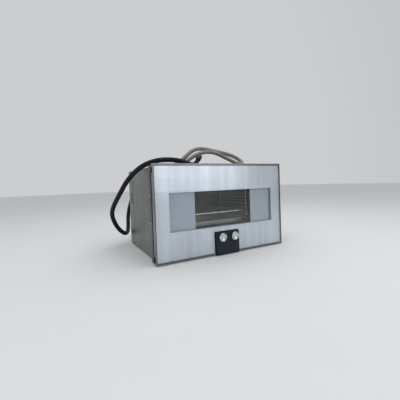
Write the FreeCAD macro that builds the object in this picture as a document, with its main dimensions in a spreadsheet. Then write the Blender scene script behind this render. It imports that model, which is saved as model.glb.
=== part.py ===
import FreeCAD, Part
import math
import os
import re

import Sketcher

# Built-in combi-steam oven with a side-opening glass door and two water hoses.
# X runs to the right, Y to the back and Z up; the origin is the middle of the footprint on the
# standing surface. Depths of a piece run back from the front face of the door glass.

SIZES = {
    # how far a cut runs past the face it opens
    "overcut": 1,
    # door
    "door_width": 752,
    "door_height": 457,
    "door_lift": 3,
    "door_depth": 47,
    "glass_gauge": 5,
    "facing_gauge": 1,
    "trim_depth": 25,
    "trim_top": 8,
    "trim_low": 6,
    "trim_side": 3,
    "trim_rebate": 9,
    "trim_seam": 0.8,
    "shell_inset": 6,
    "shell_gauge": 1.5,
    "pane_gauge": 4,
    "pane_margin": 10,
    "band_width": 608,
    "band_low": 140,
    "band_height": 182,
    "window_width": 336,
    "mask_margin": 10,
    "mask_depth": 13,
    "mask_gauge": 1,
    # control module
    "module_width": 136,
    "module_height": 112,
    "module_rise": 1,
    "module_proud": 11,
    "module_gauge": 2,
    "module_radius": 3,
    "panel_gauge": 3,
    "notch_gap": 4.5,
    "knob_reach": 24,
    "knob_diameter": 42,
    "knob_pitch": 73,
    "knob_height": 89,
    "knob_rim": 1.5,
    "knob_dish": 1.5,
    "knob_clear": 0.5,
    "stem_diameter": 6,
    "stem_length": 15.5,
    "running_fit": 0.05,
    "bushing_diameter": 8.8,
    "bushing_gap": 0.3,
    "encoder_width": 13,
    "encoder_depth": 14,
    "encoder_setback": 17,
    "board_gauge": 1.6,
    "board_margin": 8,
    "boss_diameter": 8,
    "display_width": 104,
    "display_height": 52,
    "display_rise": 8,
    "display_depth": 10,
    # front frame and casing
    "frame_gap": 4,
    "frame_depth": 26,
    "frame_inset": 4,
    "frame_gauge": 1.5,
    "casing_inset": 21,
    "casing_drop": 8,
    "sheet_gauge": 1,
    "sheet_return": 14,
    "feet_height": 4,
    "feet_diameter": 34,
    "feet_inset": 60,
    "body_depth": 562,
    "rear_split": 476,
    "rear_lap": 14,
    "rear_reach": 25,
    "vent_length": 28,
    "vent_height": 8,
    "vent_pitch": 16.3,
    "vent_low": 264,
    "vent_setback": 62,
    "bead_height": 54,
    "bead_width": 5,
    "bead_low": 330,
    "bead_depth": 448,
    "bead_proud": 0.8,
    "outlet_width": 14,
    "outlet_height": 12,
    "outlet_pitch": 22,
    "outlet_rise": 34,
    "screw_diameter": 7,
    "screw_proud": 1.6,
    "screw_low": 52,
    "screw_pitch": 132,
    "screw_depth": 20,
    # hinges
    "hinge_inset": 10,
    "hinge_depth": 38,
    "hinge_drop": 12,
    "pocket_height": 30,
    "pocket_width": 36,
    "pin_diameter": 8,
    "pin_head": 2,
    "knuckle_diameter": 16,
    "arm_height": 8,
    "arm_rise": 3,
    "leaf_height": 15,
    "leaf_gauge": 4,
    "leaf_width": 30,
    "hinge_play": 0.3,
    "bracket_gauge": 2,
    "magnet_width": 16,
    "magnet_height": 40,
    "magnet_gap": 0.5,
    "magnet_inset": 40,
    # cavity
    "cavity_width": 420,
    "cavity_height": 240,
    "cavity_low": 138,
    "cavity_back": 446,
    "cavity_radius": 18,
    "liner_gauge": 1,
    "liner_flange": 13,
    "insulation_gauge": 25,
    "gasket_gap": 4,
    "gasket_width": 8,
    "gasket_clear": 0.5,
    "baffle_depth": 46,
    "baffle_margin": 14,
    "baffle_gauge": 1,
    "intake_inner": 20,
    "intake_outer": 62,
    "intake_width": 6,
    "blow_slot_length": 30,
    "blow_slot_width": 6,
    "blow_slot_pitch": 14,
    "lamp_width": 44,
    "lamp_low": 300,
    "lamp_depth": 150,
    "lamp_gauge": 4,
    "lamp_lip": 4,
    # hot-air fan and ring heater
    "fan_diameter": 144,
    "fan_front": 11,
    "fan_height": 26,
    "fan_plate": 1.5,
    "hub_diameter": 28,
    "blade_inner": 36,
    "blade_gauge": 1.5,
    "blade_sweep": 12,
    "shaft_diameter": 8,
    "shaft_length": 58,
    "shaft_gap": 3,
    "motor_flange": 60,
    "motor_neck": 30,
    "motor_diameter": 84,
    "motor_length": 50,
    "motor_plate": 3,
    "heater_ring": 184,
    "heater_rod": 7,
    "heater_setback": 22,
    "heater_sweep": 330,
    "heater_plate": 1.5,
    "heater_pin": 12,
    # racks, shelf and tray
    "rod_diameter": 6,
    "rail_diameter": 5,
    "wire_diameter": 3,
    "rack_gap": 11,
    "rail_gap": 16,
    "rail_low": 162,
    "rail_pitch": 39,
    "rail_throat": 20,
    "rack_front": 95,
    "rack_span": 275,
    "rack_overrun": 15,
    "shelf_front": 70,
    "shelf_depth": 325,
    "shelf_gap": 18,
    "shelf_play": 0.3,
    "wire_pitch": 27,
    "tray_gap": 15,
    "tray_rim": 24,
    "tray_sink": 22,
    "tray_gauge": 1,
    "slot_length": 30,
    "slot_width": 7,
    "slot_pitch_across": 46,
    "slot_pitch_deep": 26,
    # cooling blower and air duct
    "duct_width": 240,
    "duct_height": 36,
    "blower_length": 46,
    "blower_height": 44,
    "blower_drop": 22,
    "drum_diameter": 30,
    "drum_length": 230,
    "drum_rim": 2,
    "drum_vane": 6,
    "axle_diameter": 6,
    "axle_overrun": 12,
    "blower_motor_diameter": 36,
    "blower_motor_length": 44,
    # water parts
    "boiler_across": 295,
    "boiler_back": 330,
    "boiler_diameter": 90,
    "boiler_height": 195,
    "boiler_dome": 18,
    "boiler_neck": 20,
    "port_height": 110,
    "port_diameter": 16,
    "port_reach": 50,
    "tube_diameter": 12,
    "tube_bend": 30,
    "steam_height": 300,
    "tube_clear": 2,
    "valve_height": 330,
    "valve_width": 40,
    "valve_depth": 52,
    "valve_plate": 4,
    "valve_back": 525,
    "spigot_diameter": 26,
    "spigot_bore": 16,
    "solenoid_diameter": 28,
    "solenoid_height": 40,
    "nut_width": 32,
    "nut_start": 4,
    "nut_length": 26,
    "nut_wall": 4,
    "nut_gap": 0.3,
    "drain_across": 60,
    "drain_height": 300,
    "drain_diameter": 20,
    "drain_bend": 34,
    "sump_back": 300,
    "sump_low": 50,
    "pump_back": 482,
    "pump_diameter": 56,
    "pump_length": 48,
    "pump_port": 12,
    "pump_stub": 17,
    "riser_back": 505,
    "cuff_diameter": 31,
    "cuff_start": 4,
    "cuff_length": 34,
    # electrics
    "carrier_across": 300,
    "carrier_front": 150,
    "carrier_length": 250,
    "carrier_height": 320,
    "carrier_gauge": 2,
    "carrier_foot": 40,
    "power_gauge": 1.6,
    "power_margin": 12,
    "heatsink_height": 90,
    "heatsink_depth": 28,
    "heatsink_fin": 3,
    "heatsink_pitch": 12,
    "mains_across": 280,
    "mains_height": 372,
    "mains_bore": 15,
    "terminal_width": 70,
    "terminal_height": 60,
    "terminal_depth": 50,
    "gland_diameter": 34,
    "gland_collar": 24,
    # hoses
    "inlet_hose_diameter": 25,
    "drain_hose_diameter": 23,
    "end_nut_diameter": 31,
    "end_nut_length": 26,
    "end_nut_bore": 24.4,
}

# Places worked out from the driving sizes.
FRONT = "((knob_reach - body_depth - rear_reach) / 2)"
DOOR_HALF = "(door_width / 2)"
DOOR_TOP = "(door_lift + door_height)"
FACING_BACK = "(glass_gauge + facing_gauge)"
SHELL_BACK = "(door_depth - pane_gauge)"
SHELL_HALF = "(door_width / 2 - shell_inset)"
TRIM_INNER = "(trim_side + trim_rebate)"
BAND_LOW = "(door_lift + band_low)"
BAND_TOP = "(door_lift + band_low + band_height)"
MODULE_HALF = "(module_width / 2)"
MODULE_LOW = "(door_lift + module_rise)"
MODULE_TOP = "(door_lift + module_rise + module_height)"
NOTCH_HALF = "(module_width / 2 + notch_gap)"
NOTCH_TOP = "(door_lift + module_rise + module_height + notch_gap)"
PANEL_FACE = "(-1 * module_proud)"
PANEL_BACK = "(panel_gauge - module_proud)"
ENCODER_FRONT = "(encoder_setback - module_proud)"
BOARD_FRONT = "(encoder_setback + encoder_depth - module_proud)"
FRAME_FACE = "(door_depth + frame_gap)"
FRAME_INNER = "(door_depth + frame_gap + frame_gauge)"
FRAME_BACK = "(door_depth + frame_gap + frame_depth)"
FRAME_HALF = "(door_width / 2 - frame_inset)"
FRAME_TOP = "(door_lift + door_height - frame_inset)"
CASE_HALF = "(door_width / 2 - casing_inset)"
SIDE_HALF = "(door_width / 2 - casing_inset - sheet_gauge)"
PAN_HALF = "(door_width / 2 - casing_inset - 2 * sheet_gauge)"
CASE_TOP = "(door_lift + door_height - casing_drop)"
COVER_TOP = "(door_lift + door_height - casing_drop - sheet_gauge)"
PANEL_TOP = "(door_lift + door_height - casing_drop - 2 * sheet_gauge)"
PAN_TOP = "(feet_height + sheet_gauge)"
REAR_INNER = "(body_depth - sheet_gauge)"
REAR_END = "(body_depth + rear_reach)"
CAVITY_HALF = "(cavity_width / 2)"
CAVITY_TOP = "(cavity_low + cavity_height)"
CAVITY_MID = "(cavity_low + cavity_height / 2)"
LINER_HALF = "(cavity_width / 2 + liner_gauge)"
LINER_LOW = "(cavity_low - liner_gauge)"
LINER_TOP = "(cavity_low + cavity_height + liner_gauge)"
LINER_BACK = "(cavity_back + liner_gauge)"
WOOL_HALF = "(cavity_width / 2 + liner_gauge + insulation_gauge)"
WOOL_LOW = "(cavity_low - liner_gauge - insulation_gauge)"
WOOL_TOP = "(cavity_low + cavity_height + liner_gauge + insulation_gauge)"
WOOL_BACK = "(cavity_back + liner_gauge + insulation_gauge)"
GASKET_INNER = "(cavity_width / 2 + gasket_gap)"
GASKET_OUTER = "(cavity_width / 2 + gasket_gap + gasket_width)"
BAFFLE_FACE = "(cavity_back - baffle_depth)"
HINGE_X = "(hinge_inset - door_width / 2)"
HINGE_UPPER = "(door_lift + door_height - hinge_drop - pocket_height)"
HINGE_LOWER = "door_lift"
RAIL_HALF = "(cavity_width / 2 - rail_gap)"
SHELF_HALF = "(cavity_width / 2 - shelf_gap)"
SHELF_MID = "(rail_low + rail_pitch + rail_diameter / 2 + rod_diameter / 2 + shelf_play)"
TRAY_HALF = "(cavity_width / 2 - tray_gap)"
TRAY_RIM_LOW = "(rail_low + rail_diameter / 2 + shelf_play)"
PAN_FRONT = "(shelf_front + tray_rim)"
PAN_END = "(shelf_front + shelf_depth - tray_rim)"
BLOWER_BACK = "(cavity_back + insulation_gauge)"
BLOWER_FRONT = "(cavity_back + insulation_gauge - blower_length)"
DRUM_BACK = "(cavity_back + insulation_gauge - blower_length / 2)"
DRUM_MID = "(cavity_low + cavity_height + liner_gauge + insulation_gauge + blower_drop)"
DRUM_HALF = "(drum_length / 2)"
DUCT_HALF = "(duct_width / 2)"

doc = FreeCAD.newDocument("oven")
sheet = doc.addObject("Spreadsheet::Sheet", "Sizes")
for row, (alias, size) in enumerate(SIZES.items(), start=1):
    sheet.set(f"A{row}", alias)
    sheet.set(f"B{row}", str(size))
    sheet.setAlias(f"B{row}", alias)
doc.recompute()

parts = []


# Expressions and numbers

def ex(text):
    """Turns plain size names into references to the sheet."""
    return re.sub(
        r"[a-z_]+",
        lambda word: f"Sizes.{word.group()}" if word.group() in SIZES else word.group(),
        text,
    )


def num(text):
    """Works an expression out as a number."""
    found = sheet.evalExpression(ex(text))
    return float(getattr(found, "Value", found))


def minus(text):
    """The same expression with its sign turned."""
    return f"(-1 * ({text}))"


# Outlines for sketches: each is a kind and the expressions that place it

def outline(*points):
    return ("outline", points)


def rect(left, low, right, top):
    return outline((left, low), (right, low), (right, top), (left, top))


def circle(across, up, radius):
    return ("circle", (across, up, radius))


def rounded(left, low, right, top, radius):
    return ("rounded", (left, low, right, top, radius))


def bind(sketch, kind, geometry, point, text):
    """Fixes one coordinate of a sketch point to an expression."""
    index = sketch.addConstraint(Sketcher.Constraint(kind, -1, 1, geometry, point, num(text)))
    sketch.setExpression(f"Constraints[{index}]", ex(text))


def bind_radius(sketch, geometry, text):
    index = sketch.addConstraint(Sketcher.Constraint("Radius", geometry, num(text)))
    sketch.setExpression(f"Constraints[{index}]", ex(text))


def draw_outline(sketch, points):
    corners = [FreeCAD.Vector(num(across), num(up), 0) for across, up in points]
    first = sketch.GeometryCount
    for start, end in zip(corners, corners[1:] + corners[:1]):
        sketch.addGeometry(Part.LineSegment(start, end), False)
    for step, (across, up) in enumerate(points):
        following = first + (step + 1) % len(points)
        sketch.addConstraint(Sketcher.Constraint("Coincident", first + step, 2, following, 1))
        bind(sketch, "DistanceX", first + step, 1, across)
        bind(sketch, "DistanceY", first + step, 1, up)


def draw_circle(sketch, across, up, radius):
    middle = FreeCAD.Vector(num(across), num(up), 0)
    ring = sketch.addGeometry(Part.Circle(middle, FreeCAD.Vector(0, 0, 1), num(radius)), False)
    bind(sketch, "DistanceX", ring, 3, across)
    bind(sketch, "DistanceY", ring, 3, up)
    bind_radius(sketch, ring, radius)


def draw_rounded(sketch, left, low, right, top, radius):
    west, south, east, north, bend = (num(text) for text in (left, low, right, top, radius))
    up = FreeCAD.Vector(0, 0, 1)
    sides = [
        ((west + bend, south), (east - bend, south), (east - bend, south + bend), -90),
        ((east, south + bend), (east, north - bend), (east - bend, north - bend), 0),
        ((east - bend, north), (west + bend, north), (west + bend, north - bend), 90),
        ((west, north - bend), (west, south + bend), (west + bend, south + bend), 180),
    ]
    first = sketch.GeometryCount
    for start, end, middle, angle in sides:
        sketch.addGeometry(Part.LineSegment(FreeCAD.Vector(*start, 0), FreeCAD.Vector(*end, 0)), False)
        corner = Part.Circle(FreeCAD.Vector(*middle, 0), up, bend)
        arc = Part.ArcOfCircle(corner, math.radians(angle), math.radians(angle + 90))
        sketch.addGeometry(arc, False)
    for step in range(8):
        following = first + (step + 1) % 8
        sketch.addConstraint(Sketcher.Constraint("Tangent", first + step, 2, following, 1))
    for step, kind in enumerate(("Horizontal", "Vertical", "Horizontal", "Vertical")):
        sketch.addConstraint(Sketcher.Constraint(kind, first + 2 * step))
    for step in (3, 5, 7):
        sketch.addConstraint(Sketcher.Constraint("Equal", first + 1, first + step))
    bind_radius(sketch, first + 1, radius)
    bind(sketch, "DistanceY", first, 1, low)
    bind(sketch, "DistanceX", first + 2, 1, right)
    bind(sketch, "DistanceY", first + 4, 1, top)
    bind(sketch, "DistanceX", first + 6, 1, left)


DRAW = {
    "outline": lambda sketch, points: draw_outline(sketch, points),
    "circle": lambda sketch, values: draw_circle(sketch, *values),
    "rounded": lambda sketch, values: draw_rounded(sketch, *values),
}
PLANES = {"X": "YZ_Plane", "Y": "XZ_Plane", "Z": "XY_Plane"}


# Bodies and features

def place(piece, across="0", back="0", up="0"):
    """Puts a piece at a place given from the front face of the door glass."""
    piece.setExpression("Placement.Base.x", ex(across))
    piece.setExpression("Placement.Base.y", ex(f"{FRONT} + {back}"))
    piece.setExpression("Placement.Base.z", ex(up))
    return piece


def new_body(label, across="0", back="0", up="0", keep=True):
    """A body of its own, kept as a sub-part unless it goes into a group."""
    body = doc.addObject("PartDesign::Body", label)
    body.Label = label
    place(body, across, back, up)
    if keep:
        parts.append(body)
    return body


def origin_feature(body, role):
    return next(item for item in body.Origin.OriginFeatures if item.Role == role)


def sketch_at(body, name, axis, level, outlines):
    """A sketch square to an axis of the body: X sees Y and Z, Y sees X and Z, Z sees X and Y."""
    sketch = body.newObject("Sketcher::SketchObject", name)
    sketch.AttachmentSupport = [(origin_feature(body, PLANES[axis]), "")]
    sketch.MapMode = "FlatFace"
    sketch.setExpression("AttachmentOffset.Base.z", ex(minus(level) if axis == "Y" else level))
    for kind, values in outlines:
        DRAW[kind](sketch, values)
    return sketch


def pad(body, name, axis, start, end, *outlines):
    """Adds the outlines between two levels along an axis."""
    sketch = sketch_at(body, f"{name}_sketch", axis, start, outlines)
    feature = body.newObject("PartDesign::Pad", name)
    feature.Profile = sketch
    feature.setExpression("Length", ex(f"({end}) - ({start})"))
    feature.Reversed = axis == "Y"
    return feature


def cut(body, name, axis, start, end, *outlines):
    """Takes the outlines away between two levels along an axis."""
    sketch = sketch_at(body, f"{name}_sketch", axis, start, outlines)
    feature = body.newObject("PartDesign::Pocket", name)
    feature.Profile = sketch
    feature.setExpression("Length", ex(f"({end}) - ({start})"))
    feature.Reversed = axis != "Y"
    return feature


def revolve(body, name, axis, *outlines, sweep=None):
    """Turns outlines of radius and height round an axis of the body."""
    sketch = sketch_at(body, f"{name}_sketch", {"Y": "Z", "Z": "Y"}[axis], "0", outlines)
    feature = body.newObject("PartDesign::Revolution", name)
    feature.Profile = sketch
    feature.ReferenceAxis = (origin_feature(body, f"{axis}_Axis"), [""])
    if sweep:
        feature.Midplane = True
        feature.setExpression("Angle", ex(sweep))
    else:
        feature.Angle = 360
    return feature


def repeat_round(body, name, feature, axis, count):
    """Repeats a feature evenly round an axis of the body."""
    pattern = body.newObject("PartDesign::PolarPattern", name)
    pattern.Originals = [feature]
    pattern.Axis = (origin_feature(body, f"{axis}_Axis"), [""])
    pattern.Angle = 360
    pattern.Occurrences = count
    body.Tip = pattern
    return pattern


def repeat_along(body, name, feature, axis, pitch, count):
    """Repeats a feature at a pitch along an axis of the body."""
    pattern = body.newObject("PartDesign::LinearPattern", name)
    pattern.Originals = [feature]
    pattern.Direction = (origin_feature(body, f"{axis}_Axis"), [""])
    pattern.setExpression("Length", ex(f"{count - 1} * {pitch}"))
    pattern.Occurrences = count
    body.Tip = pattern
    return pattern


def elbow(label, axis, level, start, end, bend, diameter):
    """A round pipe that rises or falls from its start, bends once and runs level to its end."""
    body = new_body(label, keep=False)
    (across, foot), (reach, height) = start, end
    spine = body.newObject("Sketcher::SketchObject", f"{label}_spine")
    spine.AttachmentSupport = [(origin_feature(body, PLANES[axis]), "")]
    spine.MapMode = "FlatFace"
    spine.setExpression("AttachmentOffset.Base.z", ex(minus(level) if axis == "Y" else level))
    side = math.copysign(1, num(reach) - num(across))
    rise = math.copysign(1, num(height) - num(foot))
    radius = num(bend)
    low = FreeCAD.Vector(num(across), num(foot), 0)
    turn_in = FreeCAD.Vector(num(across), num(height) - rise * radius, 0)
    turn_out = FreeCAD.Vector(num(across) + side * radius, num(height), 0)
    far = FreeCAD.Vector(num(reach), num(height), 0)
    middle = FreeCAD.Vector(turn_out.x, turn_in.y, 0)
    angles = [math.atan2(point.y - middle.y, point.x - middle.x) for point in (turn_in, turn_out)]
    counter = side * rise < 0
    first_angle, last_angle = angles if counter else angles[::-1]
    ring = Part.Circle(middle, FreeCAD.Vector(0, 0, 1), radius)
    spine.addGeometry(Part.LineSegment(low, turn_in), False)
    spine.addGeometry(Part.ArcOfCircle(ring, first_angle, last_angle), False)
    spine.addGeometry(Part.LineSegment(turn_out, far), False)
    spine.addConstraint(Sketcher.Constraint("Tangent", 0, 2, 1, 1 if counter else 2))
    spine.addConstraint(Sketcher.Constraint("Tangent", 2, 1, 1, 2 if counter else 1))
    spine.addConstraint(Sketcher.Constraint("Vertical", 0))
    spine.addConstraint(Sketcher.Constraint("Horizontal", 2))
    bind(spine, "DistanceX", 0, 1, across)
    bind(spine, "DistanceY", 0, 1, foot)
    bind(spine, "DistanceX", 2, 2, reach)
    bind(spine, "DistanceY", 2, 2, height)
    bind_radius(spine, 1, bend)
    middle_of_start = (level, across) if axis == "X" else (across, level)
    profile = sketch_at(body, f"{label}_profile", "Z", foot, [circle(*middle_of_start, f"{diameter} / 2")])
    pipe = body.newObject("PartDesign::AdditivePipe", f"{label}_pipe")
    pipe.Profile = profile
    pipe.Spine = spine
    return body


def group(label, members):
    """Several like pieces that share one sub-part."""
    compound = doc.addObject("Part::Compound", label)
    compound.Label = label
    compound.Links = members
    parts.append(compound)
    return compound


# Casing

def make_base():
    """The base pan with its upturned sides, on four low feet."""
    pan = new_body("base_pan")
    lip = "(feet_height + sheet_return)"
    inner = f"({PAN_HALF} - sheet_gauge)"
    section = outline(
        (minus(PAN_HALF), "feet_height"), (PAN_HALF, "feet_height"), (PAN_HALF, lip), (inner, lip),
        (inner, PAN_TOP), (minus(inner), PAN_TOP), (minus(inner), lip), (minus(PAN_HALF), lip),
    )
    pad(pan, "pan", "Y", FRAME_INNER, REAR_INNER, section)
    feet = []
    reach = f"({PAN_HALF} - feet_inset)"
    for across in (minus(reach), reach):
        for back in (f"{FRAME_BACK} + feet_inset", "body_depth - feet_inset"):
            foot = new_body("foot", across, back, keep=False)
            rim = "feet_diameter / 2"
            revolve(foot, "pad", "Z", outline(
                ("0", "0"), (f"{rim} - sheet_gauge", "0"), (rim, "sheet_gauge"), (rim, "feet_height"),
                ("0", "feet_height"),
            ))
            feet.append(foot)
    group("base_feet", feet)


def make_side(label, side):
    """A side panel with its top return and a pressed bead near the rear."""
    def turned(text):
        return minus(text) if side < 0 else text
    panel = new_body(label)
    ends = f"({SIDE_HALF} - sheet_return)"
    section = outline(
        (turned(SIDE_HALF), "feet_height"), (turned(PAN_HALF), "feet_height"),
        (turned(PAN_HALF), f"{PANEL_TOP} - sheet_gauge"), (turned(ends), f"{PANEL_TOP} - sheet_gauge"),
        (turned(ends), PANEL_TOP), (turned(SIDE_HALF), PANEL_TOP),
    )
    pad(panel, "sheet", "Y", FRAME_INNER, "rear_split + rear_lap", section)
    bead = rounded("bead_depth", "bead_low", "bead_depth + bead_width", "bead_low + bead_height",
                   "bead_width * 0.49")
    if side < 0:
        pad(panel, "bead", "X", f"{minus(SIDE_HALF)} - bead_proud", minus(SIDE_HALF), bead)
    else:
        pad(panel, "bead", "X", SIDE_HALF, f"{SIDE_HALF} + bead_proud", bead)


def make_top():
    """The top cover, on the returns of the side panels, with two rows of vent slots."""
    cover = new_body("top_cover")
    pad(cover, "sheet", "Z", PANEL_TOP, COVER_TOP,
        rect(minus(SIDE_HALF), FRAME_INNER, SIDE_HALF, "rear_split + rear_lap"))
    first = minus("(3.5 * 2 * vent_length)")
    for name, back in (("front_vents", "rear_split - 4 * vent_pitch"),
                       ("rear_vents", "rear_split - 2 * vent_pitch")):
        slot = cut(cover, name, "Z", f"{PANEL_TOP} - overcut", f"{COVER_TOP} + overcut",
                   rounded(f"{first} - vent_length / 2", back, f"{first} + vent_length / 2",
                           f"{back} + vent_height", "vent_height * 0.45"))
        repeat_along(cover, f"{name}_row", slot, "X", "2 * vent_length", 8)


def make_rear():
    """The rear cover wraps the last part of both sides and the top, with vents and three pass-through holes."""
    cover = new_body("rear_cover")
    pad(cover, "shell", "Y", "rear_split", "body_depth",
        rect(minus(CASE_HALF), "feet_height", CASE_HALF, CASE_TOP))
    cut(cover, "inside", "Y", "rear_split - overcut", REAR_INNER,
        rect(minus(SIDE_HALF), "feet_height - overcut", SIDE_HALF, COVER_TOP))
    middle = "(body_depth - vent_setback)"
    slot = cut(cover, "side_vent", "X", f"{minus(CASE_HALF)} - overcut", f"{CASE_HALF} + overcut",
               rounded(f"{middle} - vent_length / 2", "vent_low - vent_height / 2",
                       f"{middle} + vent_length / 2", "vent_low + vent_height / 2", "vent_height * 0.45"))
    repeat_along(cover, "side_vents", slot, "Z", "vent_pitch", 4)
    left = f"({DUCT_HALF})"
    louvre = cut(cover, "rear_vent", "Y", f"{REAR_INNER} - overcut", "body_depth + overcut",
                 rounded(minus(left), f"{WOOL_TOP}", f"vent_length - {left}", f"{WOOL_TOP} + vent_height",
                         "vent_height * 0.45"))
    repeat_along(cover, "rear_vents", louvre, "X", "1.5 * vent_length", 6)
    cut(cover, "pass_through", "Y", f"{REAR_INNER} - overcut", "body_depth + overcut",
        circle("-1 * boiler_across", "valve_height", "spigot_diameter / 2 + tube_clear"),
        circle("-1 * drain_across", "drain_height", "drain_diameter / 2 + tube_clear"),
        circle("mains_across", "mains_height", "mains_bore / 2"))


def make_front_frame():
    """The front frame: a face with the cavity mouth and air outlets, and a rim on three sides."""
    frame = new_body("front_frame")
    pad(frame, "face", "Y", FRAME_FACE, FRAME_BACK,
        rect(minus(FRAME_HALF), "feet_height", FRAME_HALF, FRAME_TOP))
    inner = f"({FRAME_HALF} - frame_gauge)"
    cut(frame, "behind", "Y", FRAME_INNER, f"{FRAME_BACK} + overcut",
        rect(minus(inner), "feet_height - overcut", inner, f"{FRAME_TOP} - frame_gauge"))
    cut(frame, "mouth", "Y", f"{FRAME_FACE} - overcut", f"{FRAME_INNER} + overcut",
        rounded(minus(CAVITY_HALF), "cavity_low", CAVITY_HALF, CAVITY_TOP, "cavity_radius"))
    cut(frame, "cable_hole", "Y", f"{FRAME_FACE} - overcut", f"{FRAME_INNER} + overcut",
        circle("0", "door_lift + knob_height", "boss_diameter"))
    first = minus("(4.5 * outlet_pitch)")
    slot = cut(frame, "outlet", "Y", f"{FRAME_FACE} - overcut", f"{FRAME_INNER} + overcut",
               rect(f"{first} - outlet_width / 2", f"{CAVITY_TOP} + outlet_rise",
                    f"{first} + outlet_width / 2", f"{CAVITY_TOP} + outlet_rise + outlet_height"))
    repeat_along(frame, "outlets", slot, "X", "outlet_pitch", 10)
    screws = []
    for side in (-1, 1):
        for row in (0, 1, 2):
            screw = doc.addObject("Part::Cone", "screw")
            screw.setExpression("Radius1", ex("screw_diameter / 2"))
            screw.setExpression("Radius2", ex("screw_diameter / 3"))
            screw.setExpression("Height", ex("screw_proud"))
            screw.Placement.Rotation = FreeCAD.Rotation(FreeCAD.Vector(0, 1, 0), 90 * side)
            place(screw, f"{side} * {FRAME_HALF}", f"{FRAME_FACE} + screw_depth",
                  f"screw_low + {row} * screw_pitch")
            screws.append(screw)
    group("frame_screws", screws)


# Cavity

def make_cavity():
    """The cavity liner with rounded corners, its flange behind the frame, its gasket and its insulation."""
    liner = new_body("cavity_liner")
    pad(liner, "box", "Y", FRAME_INNER, LINER_BACK,
        rounded(minus(LINER_HALF), LINER_LOW, LINER_HALF, LINER_TOP, "cavity_radius + liner_gauge"))
    flange = f"({CAVITY_HALF} + liner_flange)"
    pad(liner, "flange", "Y", FRAME_INNER, f"{FRAME_INNER} + liner_gauge",
        rounded(minus(flange), "cavity_low - liner_flange", flange, f"{CAVITY_TOP} + liner_flange",
                "cavity_radius + liner_flange"))
    cut(liner, "inside", "Y", f"{FRAME_INNER} - overcut", "cavity_back",
        rounded(minus(CAVITY_HALF), "cavity_low", CAVITY_HALF, CAVITY_TOP, "cavity_radius"))
    pin_across = "(heater_ring / 2 * cos(heater_sweep / 2))"
    pin_up = "(heater_ring / 2 * sin(heater_sweep / 2))"
    cut(liner, "rear_holes", "Y", "cavity_back - overcut", f"{LINER_BACK} + overcut",
        circle("0", CAVITY_MID, "shaft_diameter / 2 + shaft_gap"),
        circle(pin_across, f"{CAVITY_MID} + {pin_up}", "heater_rod / 2 + tube_clear"),
        circle(pin_across, f"{CAVITY_MID} - {pin_up}", "heater_rod / 2 + tube_clear"))
    cut(liner, "sump_hole", "Z", f"{LINER_LOW} - overcut", "cavity_low + overcut",
        circle("-1 * drain_across", "sump_back", "drain_diameter / 2 - tube_clear"))
    cut(liner, "lamp_hole", "X", f"{minus(LINER_HALF)} - overcut", f"{minus(CAVITY_HALF)} + overcut",
        rect("lamp_depth + lamp_lip", "lamp_low + lamp_lip", "lamp_depth + lamp_width - lamp_lip",
             "lamp_low + lamp_width - lamp_lip"))

    gasket = new_body("cavity_gasket")
    outer_low = "(cavity_low - gasket_gap - gasket_width)"
    outer_top = f"({CAVITY_TOP} + gasket_gap + gasket_width)"
    pad(gasket, "ring", "Y", "door_depth + gasket_clear", FRAME_FACE,
        rounded(minus(GASKET_OUTER), outer_low, GASKET_OUTER, outer_top,
                "cavity_radius + gasket_gap + gasket_width"),
        rounded(minus(GASKET_INNER), "cavity_low - gasket_gap", GASKET_INNER, f"{CAVITY_TOP} + gasket_gap",
                "cavity_radius + gasket_gap"))

    wool = new_body("insulation_jacket")
    pad(wool, "block", "Y", f"{FRAME_INNER} + liner_gauge", WOOL_BACK,
        rect(minus(WOOL_HALF), WOOL_LOW, WOOL_HALF, WOOL_TOP))
    cut(wool, "room", "Y", f"{FRAME_INNER} + liner_gauge - overcut", LINER_BACK,
        rect(minus(LINER_HALF), LINER_LOW, LINER_HALF, LINER_TOP))
    cut(wool, "motor_hole", "Y", f"{LINER_BACK} - overcut", f"{WOOL_BACK} + overcut",
        circle("0", CAVITY_MID, "motor_flange / 2 + tube_clear"))
    cut(wool, "heater_hole", "Y", f"{LINER_BACK} - overcut", f"{WOOL_BACK} + overcut",
        rect(f"{pin_across} - 2 * heater_rod", f"{CAVITY_MID} - {pin_up} - 2 * heater_rod",
             f"{pin_across} + 2 * heater_rod", f"{CAVITY_MID} + {pin_up} + 2 * heater_rod"))
    cut(wool, "sump_hole", "Z", f"{WOOL_LOW} - overcut", f"{LINER_LOW} + overcut",
        circle("-1 * drain_across", "sump_back", "drain_diameter / 2 + tube_clear"))
    cut(wool, "left_holes", "X", f"{minus(WOOL_HALF)} - overcut", f"{minus(LINER_HALF)} + overcut",
        circle("boiler_back", "steam_height", "tube_diameter / 2 + tube_clear"),
        rect("lamp_depth", "lamp_low", "lamp_depth + lamp_width", "lamp_low + lamp_width"))


def make_lamp():
    """The cavity lamp in the left wall: a housing outside and a glass cover inside."""
    housing = new_body("lamp_housing")
    square = rect("lamp_depth", "lamp_low", "lamp_depth + lamp_width", "lamp_low + lamp_width")
    bowl = rect("lamp_depth + lamp_lip", "lamp_low + lamp_lip", "lamp_depth + lamp_width - lamp_lip",
                "lamp_low + lamp_width - lamp_lip")
    pad(housing, "block", "X", minus(WOOL_HALF), minus(LINER_HALF), square)
    cut(housing, "bowl", "X", f"lamp_lip - {WOOL_HALF}", f"overcut - {LINER_HALF}", bowl)
    cover = new_body("lamp_cover")
    pad(cover, "pane", "X", minus(CAVITY_HALF), f"lamp_gauge - {CAVITY_HALF}", square)


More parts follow.
